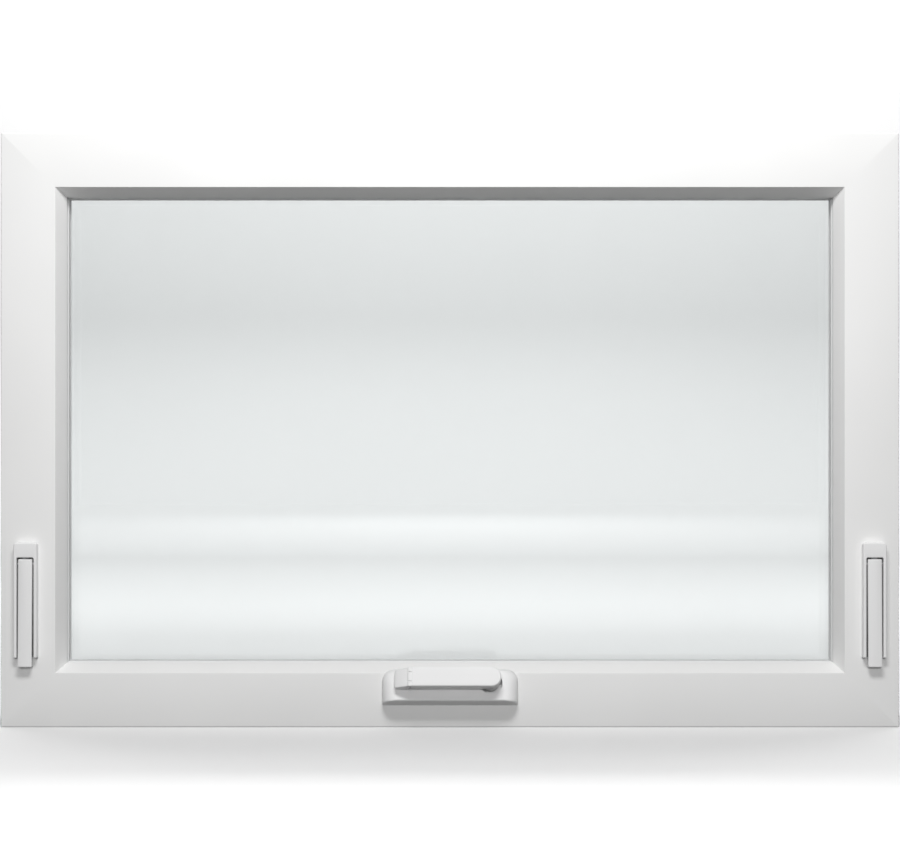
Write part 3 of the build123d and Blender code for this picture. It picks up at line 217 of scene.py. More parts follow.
def soft_edge(
    inset: float, height: float, radius: float, steps: int = 5
) -> list[tuple[float, float]]:
    """The (inset, height) pairs of a quarter round that ends at a front height.

    At angle a the inset grows by radius (1 - cos a) and the height by radius sin a.

    Args:
        inset: inset where the round begins.
        height: the front height, where it ends.
        radius: the round's radius.
        steps: segments on it.
    Returns:
        The pairs from the side to the front.
    """
    angles = np.linspace(0, math.pi / 2, steps + 1)
    return [
        (inset + radius * (1 - math.cos(a)), height - radius + radius * math.sin(a)) for a in angles
    ]


def box_outline(
    x0: float, x1: float, z0: float, z1: float, low_radius: float, high_radius: float
) -> Callable[[float], Array]:
    """A rectangle with rounded corners that can be set in.

    Args:
        x0: left edge.
        x1: right edge.
        z0: lower edge.
        z1: upper edge.
        low_radius: radius of both lower corners.
        high_radius: radius of both upper corners.
    Returns:
        A function from an inset to (n, 2) points.
    """
    least = 0.2 * MM

    def at(inset: float) -> Array:
        """The rectangle drawn in by an inset."""
        corners = [
            (x0 + inset, z0 + inset),
            (x1 - inset, z0 + inset),
            (x1 - inset, z1 - inset),
            (x0 + inset, z1 - inset),
        ]
        low = max(low_radius - inset, least)
        high = max(high_radius - inset, least)
        return rounded(corners, [low, low, high, high], CORNER_STEPS)

    return at


# ------------------------------------------------------------------ finishes


@dataclass(frozen=True)
class Finish:
    """A procedural surface: colour, gloss and a fine relief.

    Attributes:
        name: the material's name.
        colour: base colour, linear.
        roughness: mean roughness.
        metallic: 0 or 1.
        grain: noise scale along X, Y and Z, per metre.
        relief: bump strength of the grain.
        blotch: how much the colour varies over a hand's width.
        gloss_swing: how far roughness varies with the grain.
        coat: clear coat weight.
    """

    name: str
    colour: tuple[float, float, float]
    roughness: float
    metallic: float = 0.0
    grain: tuple[float, float, float] = (900.0, 900.0, 900.0)
    relief: float = 0.05
    blotch: float = 0.015
    gloss_swing: float = 0.06
    coat: float = 0.0

    def build(self) -> bpy.types.Material:
        """Make the node tree and return the material."""
        material = bpy.data.materials.new(self.name)
        material.use_nodes = True
        tree = material.node_tree
        nodes, links = tree.nodes, tree.links
        shader = nodes["Principled BSDF"]
        shader.inputs["Metallic"].default_value = self.metallic
        shader.inputs["Coat Weight"].default_value = self.coat
        shader.inputs["Coat Roughness"].default_value = 0.25
        places = nodes.new("ShaderNodeTexCoord")
        stretch = nodes.new("ShaderNodeMapping")
        stretch.inputs["Scale"].default_value = self.grain
        links.new(places.outputs["Object"], stretch.inputs["Vector"])
        fine = nodes.new("ShaderNodeTexNoise")
        fine.inputs["Scale"].default_value = 1.0
        fine.inputs["Detail"].default_value = 4.0
        links.new(stretch.outputs["Vector"], fine.inputs["Vector"])
        broad = nodes.new("ShaderNodeTexNoise")
        broad.inputs["Scale"].default_value = 9.0
        broad.inputs["Detail"].default_value = 2.0
        links.new(places.outputs["Object"], broad.inputs["Vector"])
        shade = nodes.new("ShaderNodeValToRGB")
        dark = [c * (1 - self.blotch) for c in self.colour]
        pale = [min(1.0, c * (1 + self.blotch)) for c in self.colour]
        shade.color_ramp.elements[0].position = 0.3
        shade.color_ramp.elements[1].position = 0.7
        shade.color_ramp.elements[0].color = (*dark, 1)
        shade.color_ramp.elements[1].color = (*pale, 1)
        links.new(broad.outputs["Fac"], shade.inputs["Fac"])
        links.new(shade.outputs["Color"], shader.inputs["Base Color"])
        gloss = nodes.new("ShaderNodeMapRange")
        gloss.inputs["To Min"].default_value = max(0.02, self.roughness - self.gloss_swing)
        gloss.inputs["To Max"].default_value = min(1.0, self.roughness + self.gloss_swing)
        links.new(fine.outputs["Fac"], gloss.inputs["Value"])
        links.new(gloss.outputs["Result"], shader.inputs["Roughness"])
        bump = nodes.new("ShaderNodeBump")
        bump.inputs["Strength"].default_value = self.relief
        bump.inputs["Distance"].default_value = 0.0002
        links.new(fine.outputs["Fac"], bump.inputs["Height"])
        links.new(bump.outputs["Normal"], shader.inputs["Normal"])
        return material


@dataclass(frozen=True)
class ClearGlass:
    """Float glass with a faint grey cast."""

    name: str = "clear_glass"
    cast: tuple[float, float, float] = (0.93, 0.945, 0.945)

    def build(self) -> bpy.types.Material:
        """Make the node tree and return the material."""
        material = bpy.data.materials.new(self.name)
        material.use_nodes = True
        nodes, links = material.node_tree.nodes, material.node_tree.links
        shader = nodes["Principled BSDF"]
        shader.inputs["Transmission Weight"].default_value = 1.0
        shader.inputs["IOR"].default_value = 1.45
        places = nodes.new("ShaderNodeTexCoord")
        haze = nodes.new("ShaderNodeTexNoise")
        haze.inputs["Scale"].default_value = 5.0
        links.new(places.outputs["Object"], haze.inputs["Vector"])
        tint = nodes.new("ShaderNodeValToRGB")
        tint.color_ramp.elements[0].color = (*[c * 0.99 for c in self.cast], 1)
        tint.color_ramp.elements[1].color = (*self.cast, 1)
        links.new(haze.outputs["Fac"], tint.inputs["Fac"])
        links.new(tint.outputs["Color"], shader.inputs["Base Color"])
        film = nodes.new("ShaderNodeMapRange")
        film.inputs["To Min"].default_value = 0.0
        film.inputs["To Max"].default_value = 0.03
        links.new(haze.outputs["Fac"], film.inputs["Value"])
        links.new(film.outputs["Result"], shader.inputs["Roughness"])
        return material


ALONG_X = (6.0, 700.0, 700.0)
ALONG_Z = (700.0, 700.0, 6.0)
VINYL = (0.86, 0.86, 0.855)
BEAD = (0.84, 0.845, 0.845)


@dataclass(frozen=True)
class Palette:
    """Every finish on the unit."""

    vinyl_across: Finish = Finish("vinyl_across", VINYL, 0.36, grain=ALONG_X, relief=0.04)
    vinyl_upright: Finish = Finish("vinyl_upright", VINYL, 0.36, grain=ALONG_Z, relief=0.04)
    bead_across: Finish = Finish("bead_across", BEAD, 0.34, grain=ALONG_X, relief=0.03)
    bead_upright: Finish = Finish("bead_upright", BEAD, 0.34, grain=ALONG_Z, relief=0.03)
    cover: Finish = Finish(
        "cover_moulding", (0.86, 0.86, 0.86), 0.4, grain=(1600.0,) * 3, relief=0.08
    )
    handle: Finish = Finish(
        "handle_powder_coat", (0.87, 0.87, 0.87), 0.34, grain=(1100.0,) * 3, relief=0.1, coat=0.15
    )
    lock: Finish = Finish(
        "lock_powder_coat", (0.85, 0.85, 0.85), 0.34, grain=(1100.0,) * 3, relief=0.1, coat=0.15
    )
    seal: Finish = Finish("seal_rubber", (0.12, 0.12, 0.125), 0.7, grain=(1500.0,) * 3, relief=0.2)
    gasket: Finish = Finish(
        "gasket_rubber", (0.62, 0.625, 0.63), 0.6, grain=(1500.0,) * 3, relief=0.15
    )
    nylon: Finish = Finish("shoe_nylon", (0.035, 0.035, 0.04), 0.45, relief=0.12)
    spacer: Finish = Finish("spacer_foam", (0.78, 0.78, 0.78), 0.6, relief=0.1)
    # Near black: painted shade for the slot between the lever and the housing.
    slot_plate_painted_shade: Finish = Finish("lock_base_plate_painted_shade", (0.03, 0.03, 0.032), 0.5, relief=0.1)
    rubber: Finish = Finish("setting_rubber", (0.02, 0.02, 0.02), 0.8, relief=0.2)
    strip: Finish = Finish(
        "brushed_strip", (0.55, 0.555, 0.565), 0.32, 1.0, ALONG_Z, 0.18, 0.04, 0.1
    )
    plate: Finish = Finish(
        "brushed_plate", (0.5, 0.51, 0.53), 0.36, 1.0, (40.0, 900.0, 900.0), 0.18, 0.05, 0.1
    )
    turned: Finish = Finish(
        "turned_steel", (0.52, 0.52, 0.53), 0.3, 1.0, (900.0,) * 3, 0.06, 0.04
    )
    casting: Finish = Finish(
        "painted_casting", (0.62, 0.62, 0.62), 0.5, grain=(600.0,) * 3, relief=0.35
    )
    alloy: Finish = Finish("mill_alloy", (0.62, 0.63, 0.65), 0.42, 1.0, ALONG_X, 0.12, 0.04, 0.08)
    glass: ClearGlass = ClearGlass()


class Dresser:
    """Hands out one material for each finish and puts it on pieces."""

    def __init__(self) -> None:
        """Start with no materials made."""
        self.made: dict[str, bpy.types.Material] = {}

    def dress(self, piece: bpy.types.Object, finish: Finish | ClearGlass) -> None:
        """Put a finish in every material slot of a piece.

        Args:
            piece: the object to dress.
            finish: its finish, built on first use.
        """
        if finish.name not in self.made:
            self.made[finish.name] = finish.build()
        material = self.made[finish.name]
        if not piece.material_slots:
            piece.data.materials.append(material)
        for slot in piece.material_slots:
            slot.material = material


def settle(piece: bpy.types.Object, body: str, slot: str, *nodes: str) -> None:
    """Ride a new piece on its body and hide the nodes that it stands for.

    Args:
        piece: the new piece.
        body: the body that carries it.
        slot: the record's material slot; not used.
        nodes: the plain nodes that it replaces.
    """
    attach(piece, body)
    if nodes:
        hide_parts(*nodes)
    LOG.info("%s on %s", piece.name, body)


# ------------------------------------------------------------------ frame and sash


@dataclass
class WindowFrame:
    """The hollow outer frame: head, sill and two jambs.

    Attributes:
        dresser: puts finishes on.
        palette: the finishes.
        face: width of the flat room face.
        bevel: width of the sloping inner edge.
        bevel_depth: how far that edge runs back.
        flange: depth of the stop.
        wall: thickness of the outer wall.
        depth: room face to outdoor face.
    """

    dresser: Dresser
    palette: Palette
    face: float = 54.4 * MM
    bevel: float = 8.4 * MM
    bevel_depth: float = 15.5 * MM
    flange: float = 18 * MM
    wall: float = 9 * MM
    depth: float = 83 * MM

    def corners(self) -> tuple[Vector, Vector]:
        """The unit's lowest and highest corners, at the frame's own depth.

        Returns:
            The lowest corner, at the room face, and the highest.
        """
        low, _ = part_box("frame_sill")
        _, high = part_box("frame_head")
        return low, high

    def profile(self) -> Array:
        """The frame's outline with a small round along each visible edge.

        Returns:
            (u, d) points: u inwards from the outer edge, d outdoors from the room face.
        """
        lip = self.face + self.bevel
        points = [
            (0, 0),
            (self.face, 0),
            (lip, self.bevel_depth),
            (lip, self.flange),
            (self.wall, self.flange),
            (self.wall, self.depth),
            (0, self.depth),
        ]
        radii = np.array([1.1, 0.6, 0.5, 0.5, 0.5, 0.8, 0.8]) * MM
        return rounded(points, radii)

    def build(self) -> None:
        """Make the four members and dress them."""
        low, high = self.corners()
        names = {
            Side.HEAD: "frame_head",
            Side.SILL: "frame_sill",
            Side.LEFT: "frame_jamb_left",
            Side.RIGHT: "frame_jamb_right",
        }
        for side, node in names.items():
            piece = member(node + "_vinyl", self.profile(), side, low, high)
            across = side in (Side.HEAD, Side.SILL)
            finish = self.palette.vinyl_across if across else self.palette.vinyl_upright
            self.dresser.dress(piece, finish)
            settle(piece, "frame", "frame_vinyl", node)


@dataclass
class Sash:
    """The glazed sash: rails, stiles and beads.

    Attributes:
        dresser: puts finishes on.
        palette: the finishes.
        edge: u of the rails' outer edge.
        lip_edge: u of the outdoor lip that laps the frame.
        leg_end: u where the wide leg steps to the glazing leg.
        rebate: u of the glazing rebate.
        sight: u of the room-side bead's edge.
        outer_sight: u of the outdoor leg's edge.
        outer_slope: how far that edge leans outwards to the back.
        leg_face: depth of the wide leg's face.
        face: depth of the glazing leg's face.
        back: depth of the outdoor face.
        lip: thickness of the lip.
        glass_back: depth of the glass's back.
        bead_back: depth of the bead's back.
        shoulder: size of the bead's slope.
    """

    dresser: Dresser
    palette: Palette
    edge: float = 24 * MM
    lip_edge: float = 12.5 * MM
    leg_end: float = 43 * MM
    rebate: float = 50 * MM
    sight: float = 63.2 * MM
    outer_sight: float = 58 * MM
    outer_slope: float = 4.6 * MM
    leg_face: float = 44 * MM
    face: float = 20 * MM
    back: float = 74 * MM
    lip: float = 4 * MM
    glass_back: float = 54 * MM
    bead_back: float = 31 * MM
    shoulder: float = 2.4 * MM

    def profile(self) -> Array:
        """The sash's outline: outdoor lip, wide leg, glazing leg and outer rebate.

        Returns:
            (u, d) points, as for the frame.
        """
        points = [
            (self.lip_edge, self.back),
            (self.lip_edge, self.back - self.lip),
            (self.edge, self.back - self.lip),
            (self.edge, self.leg_face),
            (self.leg_end, self.leg_face),
            (self.leg_end, self.face),
            (self.rebate, self.face),
            (self.rebate, self.glass_back),
            (self.outer_sight, self.glass_back),
            (self.outer_sight - self.outer_slope, self.back),
        ]
        radii = np.array([0.8, 0.5, 0.5, 0.6, 0.5, 0.6, 0.3, 0.3, 0.6, 0.6]) * MM
        return rounded(points, radii, 4)

    def bead_profile(self) -> Array:
        """The room-side bead, its shoulder turned down to the glass.

        Returns:
            (u, d) points, as for the frame.
        """
        points = [
            (self.rebate, self.face),
            (self.sight - self.shoulder, self.face),
            (self.sight, self.face + self.shoulder),
            (self.sight, self.bead_back),
            (self.rebate, self.bead_back),
        ]
        return rounded(points, np.array([0.2, 1.0, 0.8, 0.4, 0.2]) * MM, 4)

    def build(self, low: Vector, high: Vector) -> None:
        """Make the members and beads between the unit's corners.

        Args:
            low: the unit's lowest corner.
            high: the unit's highest corner.
        """
        rows = {
            Side.HEAD: ("sash_top_rail", "glazing_bead_top"),
            Side.SILL: ("sash_bottom_rail", "glazing_bead_bottom"),
            Side.LEFT: ("sash_stile_left", "glazing_bead_left"),
            Side.RIGHT: ("sash_stile_right", "glazing_bead_right"),
        }
        for side, (rail, bead) in rows.items():
            across = side in (Side.HEAD, Side.SILL)
            vinyl = self.palette.vinyl_across if across else self.palette.vinyl_upright
            bead_finish = self.palette.bead_across if across else self.palette.bead_upright
            piece = member(rail + "_vinyl", self.profile(), side, low, high)
            self.dresser.dress(piece, vinyl)
            settle(piece, "sash", "sash_vinyl", rail)
            piece = member(bead + "_vinyl", self.bead_profile(), side, low, high)
            self.dresser.dress(piece, bead_finish)
            settle(piece, "sash", "bead_vinyl", bead)


# ------------------------------------------------------------------ operator


@dataclass
class Operator:
    """The cover on the sill and the folding crank on its tilted shaft.

    Attributes:
        dresser: puts finishes on.
        palette: the finishes.
        room: Y of the frame's room face.
        tilt: the shaft's rise towards the room.
        shaft_x: where the shaft stands.
        stay_depth: depth of the gears' line from the room face.
        gear_level: height at which the shaft crosses that line.
        crank_back: distance along the shaft of the crank's back.
        crank_front: distance along the shaft of the crank's front.
        crank_half: half of the crank's width.
        crank_split: where the parting line runs, as a share of the thickness.
        crank_step: how far the back half is set in.
        parting_groove: how much further the parting line is set in.
        crank_edge: radius of the crank's front edge.
        hub_step: how much smaller than the crank's round end the hub is.
        hub_reach: how far the hub runs back from the crank.
        free_end: X of the arm's square end.
        knob_near: X of the knob's end at the hinge.
        knob_far: X of the knob's tip.
        knob_slope: how far the knob's front falls towards its tip.
        knob_drop: how far the knob's front starts below the crank's.
        knob_corner: radius of the knob's corners.
        knob_bow: power of the slope, over 1 for a slight crown.
        knob_taper: share of its width that the knob loses at its tip.
        knuckle: radius of the knob's hinge.
        knuckle_half: half of the knuckle's length.
        lug_gap: gap between the knuckle and each ear.
        lug_edge: size of the ears' and knuckle's edges.
        cover_half: half of the cover's width.
        cover_low: height of the cover's lower edge at the frame.
        cover_rise: how far that edge climbs to the front.
        cover_high: height of the cover's top.
        cover_plane: distance along the shaft of the cover's sloping front.
        end_radius: how far the cover's ends draw in.
        cover_foot: radius of the lower corners.
        cover_shoulder: radius of the upper corners.
        cover_edge: radius of the front edge.
        cover_edge_start: share of the depth where that edge begins.
        cover_rings: how many rings make the cover.
        pocket: radius of the hole round the hub.
    """

    dresser: Dresser
    palette: Palette
    room: float
    tilt: float = math.radians(22)
    shaft_x: float = 40.7 * MM
    stay_depth: float = 31 * MM
    gear_level: float = 31 * MM
    crank_back: float = 47.9 * MM
    crank_front: float = 65.7 * MM
    crank_half: float = 9.9 * MM
    crank_split: float = 0.42
    crank_step: float = 0.7 * MM
    parting_groove: float = 0.5 * MM
    crank_edge: float = 1.6 * MM
    hub_step: float = 1 * MM
    hub_reach: float = 7 * MM
    free_end: float = -38.4 * MM
    knob_near: float = -40.2 * MM
    knob_far: float = -55.1 * MM
    knob_slope: float = 10.7 * MM
    knob_drop: float = 0.6 * MM
    knob_corner: float = 2.6 * MM
    knob_bow: float = 1.15
    knob_taper: float = 0.055
    knuckle: float = 3.5 * MM
    knuckle_half: float = 4.6 * MM
    lug_gap: float = 0.3 * MM
    lug_edge: float = 0.4 * MM
    cover_half: float = 68.3 * MM
    cover_low: float = 22 * MM
    cover_rise: float = 8.0 * MM
    cover_high: float = 58 * MM
    cover_plane: float = 47.2 * MM
    end_radius: float = 16 * MM
    cover_foot: float = 2.0 * MM
    cover_shoulder: float = 12 * MM
    cover_edge: float = 1.6 * MM
    cover_edge_start: float = 0.86
    cover_rings: int = 20
    pocket: float = 12.6 * MM

    def place(self, plan: Array, along: float | Array) -> Array:
        """Turn (x, up) plan points at a distance along the shaft into places.

        The shaft's line is the tilt's cosine towards the room and its sine upwards, and
        `up` is measured square to it.

        Args:
            plan: an (n, 2) array.
            along: one distance from the gears' line, or one for each point.
        Returns:
            An (n, 3) array of places.
        """
        c, s = math.cos(self.tilt), math.sin(self.tilt)
        x, up = plan[:, 0], plan[:, 1]
        y = self.room + self.stay_depth - along * c + up * s
        z = self.gear_level + along * s + up * c
        return np.stack([x, y + 0 * x, z + 0 * x], axis=1)

    def stadium(self, inset: float) -> Array:
        """The crank's outline: square at the free end, a full round at the hub.

        Args:
            inset: how far it is drawn in.
        Returns:
            (x, up) points.
        """
        radius = self.crank_half - inset
        angle = np.linspace(-math.pi / 2, math.pi / 2, 33)
        arc = np.stack([self.shaft_x + radius * np.cos(angle), radius * np.sin(angle)], axis=1)
        corner = max(1.2 * MM - inset, 0.1 * MM)
        left = self.free_end + inset
        turn = np.linspace(0, math.pi / 2, 5)
        upper = np.stack(
            [left + corner * (1 - np.sin(turn)), radius - corner * (1 - np.cos(turn))], axis=1
        )
        lower = upper[::-1] * (1, -1)
        return np.concatenate([arc, upper, lower])

    def crank(self) -> bpy.types.Object:
        """The arm and hub: a recessed back half, a parting line and a soft front edge.

        Returns:
            The crank's body.
        """
        split = self.crank_back + self.crank_split * (self.crank_front - self.crank_back)
        step = self.crank_step
        groove = self.parting_groove
        profile = [
            (step + 1.2 * MM, self.crank_back),
            (step + 0.3 * MM, self.crank_back + 0.3 * MM),
            (step, self.crank_back + 1.1 * MM),
            (step, split - 0.8 * MM),
            (step + groove, split - 0.5 * MM),
            (step + groove, split - 0.1 * MM),
            (0.4 * MM, split),
            (0.05 * MM, split + 0.3 * MM),
            (0.0, split + 0.8 * MM),
        ]
        profile += soft_edge(0.0, self.crank_front - 0.05 * MM, self.crank_edge)
        profile += [(3.5 * MM, self.crank_front)]
        return stack("crank_body", self.stadium, profile, self.place)

    def hub(self) -> bpy.types.Object:
        """The round boss behind the crank, inside the cover's pocket.

        Returns:
            The hub.
        """

        def circle(inset: float) -> Array:
            """The hub's round outline drawn in by an inset."""
            angle = np.linspace(0, 2 * math.pi, HUB_POINTS, endpoint=False)
            radius = self.crank_half - self.hub_step - inset
            return np.stack(
                [self.shaft_x + radius * np.cos(angle), radius * np.sin(angle)], axis=1
            )

        start = self.crank_back - self.hub_reach
        end = self.crank_back + self.hub_step
        profile = [(0.8 * MM, start), (0.0, start + 0.8 * MM), (0.0, end)]
        return stack("crank_hub", circle, profile, self.place)

    def lugs(self) -> list[bpy.types.Object]:
        """The two ears on the arm and the knuckle of the knob, round about the fold line.

        Returns:
            The lower ear, the upper ear and the knuckle.
        """
        centre_x = (self.free_end + self.knob_near) / 2
        centre_along = self.crank_front - self.knuckle
        edge, gap = self.lug_edge, self.lug_gap
        spans = {
            "crank_lug_low": (-self.crank_half + gap, -self.knuckle_half - gap),
            "crank_lug_high": (self.knuckle_half + gap, self.crank_half - gap),
            "knob_knuckle": (-self.knuckle_half, self.knuckle_half),
        }
        found = []
        for name, (start, end) in spans.items():
            rings = []
            for up, radius in (
                (start, self.knuckle - edge),
                (start + edge, self.knuckle),
                (end - edge, self.knuckle),
                (end, self.knuckle - edge),
            ):
                angle = np.linspace(0, 2 * math.pi, LUG_POINTS, endpoint=False)
                x = centre_x + radius * np.cos(angle)
                along = centre_along + radius * np.sin(angle)
                rings.append(self.place(np.stack([x, 0 * x + up], axis=1), along))
            found.append(put_mesh(name, np.concatenate(rings), ring_faces(4, LUG_POINTS)))
        return found

    def knob(self) -> bpy.types.Object:
        """The end piece, whose front falls away towards its tip.

        The fall is the slope times share^bow, where share runs from the hinge to the tip.

        Returns:
            The knob.
        """
        half = self.crank_half
        near = self.knob_near
        corner = self.knob_corner
        plan = box_outline(self.knob_far, near, -half, half, corner, corner)
        length = near - self.knob_far
        depth = self.crank_front - self.knob_drop - self.crank_back

        def sloped(points: Array, height: float) -> Array:
            """Place the points at a share of the knob's own thickness there."""
            share = (near - points[:, 0]) / length
            top = depth - (self.knob_slope - self.knob_drop) * share**self.knob_bow
            along = self.crank_back + height * top
            narrow = points * np.stack([0 * share + 1, 1 - self.knob_taper * share], axis=1)
            return self.place(narrow, along)

        profile = [(1.0 * MM, 0.0), (0.2 * MM, 0.02), (0.0, 0.08), *self.unit_edge(1.3 * MM)]
        return stack("knob_body", plan, profile, sloped)

    @staticmethod
    def unit_edge(radius: float) -> list[tuple[float, float]]:
        """A soft edge whose height runs to one.

        Args:
            radius: how far the edge draws in.
        Returns:
            (inset, height) pairs.
        """
        turns = np.linspace(0, math.pi / 2, 6)
        return [(radius * (1 - math.cos(a)), 0.91 + 0.09 * math.sin(a)) for a in turns]

    def cover_front(self, z: Array) -> Array:
        """How far the cover's sloping front stands out at a height.

        Args:
            z: heights.
        Returns:
            Distances from the frame's room face.
        """
        c, s = math.cos(self.tilt), math.sin(self.tilt)
        up = (z - self.gear_level - self.cover_plane * s) / c
        return self.cover_plane * c - self.stay_depth - up * s

    def end_share(self, share: float) -> float:
        """The cover's width at a share of its depth, as a share of its full width.

        The plan's ends are quarter ellipses: the width falls by r (1 - sqrt(1 - share^2)).

        Args:
            share: share of the depth, from 0 at the frame to 1 at the front.
        Returns:
            The width's share.
        """
        fall = self.end_radius * (1 - math.sqrt(max(0.0, 1 - share**2)))
        return (self.cover_half - fall) / self.cover_half

    def cover(self) -> bpy.types.Object:
        """The cover: a wedge with rounded ends, soft edges and a pocket for the hub.

        Ring k is a rounded rectangle whose lower edge climbs as the ring comes forward, at
        a share of the sloping front's own distance from the frame; its width follows the
        plan's rounded ends.

        Returns:
            The cover.
        """
        shares = np.sin(np.linspace(0, math.pi / 2, self.cover_rings)) ** 0.8
        shares[0] = 0.0
        start = self.cover_edge_start
        foot, shoulder = self.cover_foot, self.cover_shoulder
        rings = []
        for share in shares:
            turn = max(0.0, (share - start) / (1 - start))
            inset = self.cover_edge * (1 - math.sqrt(max(0.0, 1 - turn**2)))
            low = self.cover_low + self.cover_rise * share
            outline = box_outline(
                -self.cover_half, self.cover_half, low, self.cover_high, foot, shoulder
            )
            plan = outline(0.0)
            middle = (low + self.cover_high) / 2
            half = (self.cover_high - low) / 2
            z = middle + (plan[:, 1] - middle) * (half - inset) / half
            depth = share * self.cover_front(z)
            x = plan[:, 0] * self.end_share(share)
            rings.append(np.stack([x, self.room - depth, z], axis=1))
        count = len(rings[0])
        total = len(rings)
        faces = ring_faces(total, count, cap=False)
        angle = np.linspace(0, 2 * math.pi, POCKET_POINTS, endpoint=False)
        round_plan = np.stack([np.cos(angle), np.sin(angle)], axis=1)
        levels = np.array([(0.7, 0.0), (0.2, -0.15), (0.0, -0.7), (0.0, -12.0)]) * MM
        for spread, rise in levels:
            plan = round_plan * (self.pocket + spread) + (self.shaft_x, 0.0)
            rings.append(self.place(plan, self.cover_plane + rise))
        base = total * count
        i = np.arange(POCKET_POINTS)
        j = (i + 1) % POCKET_POINTS
        for k in range(len(levels) - 1):
            a = base + k * POCKET_POINTS
            b = a + POCKET_POINTS
            faces += np.stack([a + i, a + j, b + j, b + i], -1).tolist()
        return self.close_front(np.concatenate(rings), faces, (total - 1) * count, count, base)

    def close_front(
        self, points: Array, faces: list[list[int]], outer: int, count: int, inner: int
    ) -> bpy.types.Object:
        """Fill between the cover's front ring and the pocket's rim, and close both backs.

        Args:
            points: all places.
            faces: the faces so far.
            outer: first number of the front ring.
            count: points on the front ring.
            inner: first number of the pocket's rim.
        Returns:
            The cover.
        """
        mesh = bpy.data.meshes.new("operator_cover_shell")
        mesh.from_pydata(points.tolist(), [], faces)
        body = bmesh.new()
        body.from_mesh(mesh)
        body.verts.ensure_lookup_table()
        loops = [(outer, count), (inner, POCKET_POINTS)]
        edges = []
        for start, length in loops:
            for i in range(length):
                pair = (body.verts[start + i], body.verts[start + (i + 1) % length])
                edges.append(body.edges.get(pair) or body.edges.new(pair))
        bmesh.ops.triangle_fill(body, edges=edges, use_beauty=True)
        floor = len(body.verts) - POCKET_POINTS
        body.faces.new([body.verts[floor + i] for i in range(POCKET_POINTS)])
        body.faces.new([body.verts[i] for i in range(count)][::-1])
        bmesh.ops.recalc_face_normals(body, faces=body.faces)
        body.to_mesh(mesh)
        body.free()
        mesh.shade_smooth()
        mesh.set_sharp_from_angle(angle=CREASE_ANGLE)
        piece = bpy.data.objects.new("operator_cover_shell", mesh)
        bpy.context.scene.collection.objects.link(piece)
        return piece

    def build(self) -> None:
        """Make the cover, the crank and its knob."""
        cover = self.cover()
        self.dresser.dress(cover, self.palette.cover)
        settle(cover, "frame", "cover_plastic", "operator_cover")
        crank = self.crank()
        self.dresser.dress(crank, self.palette.handle)
        settle(crank, "crank", "handle_paint", "crank_arm")
        hub = self.hub()
        self.dresser.dress(hub, self.palette.handle)
        settle(hub, "crank", "handle_paint")
        for lug in self.lugs():
            self.dresser.dress(lug, self.palette.handle)
            settle(lug, "knob" if lug.name == "knob_knuckle" else "crank", "handle_paint")
        knob = self.knob()
        self.dresser.dress(knob, self.palette.handle)
        settle(knob, "knob", "handle_paint", "knob")


# ------------------------------------------------------------------ locks


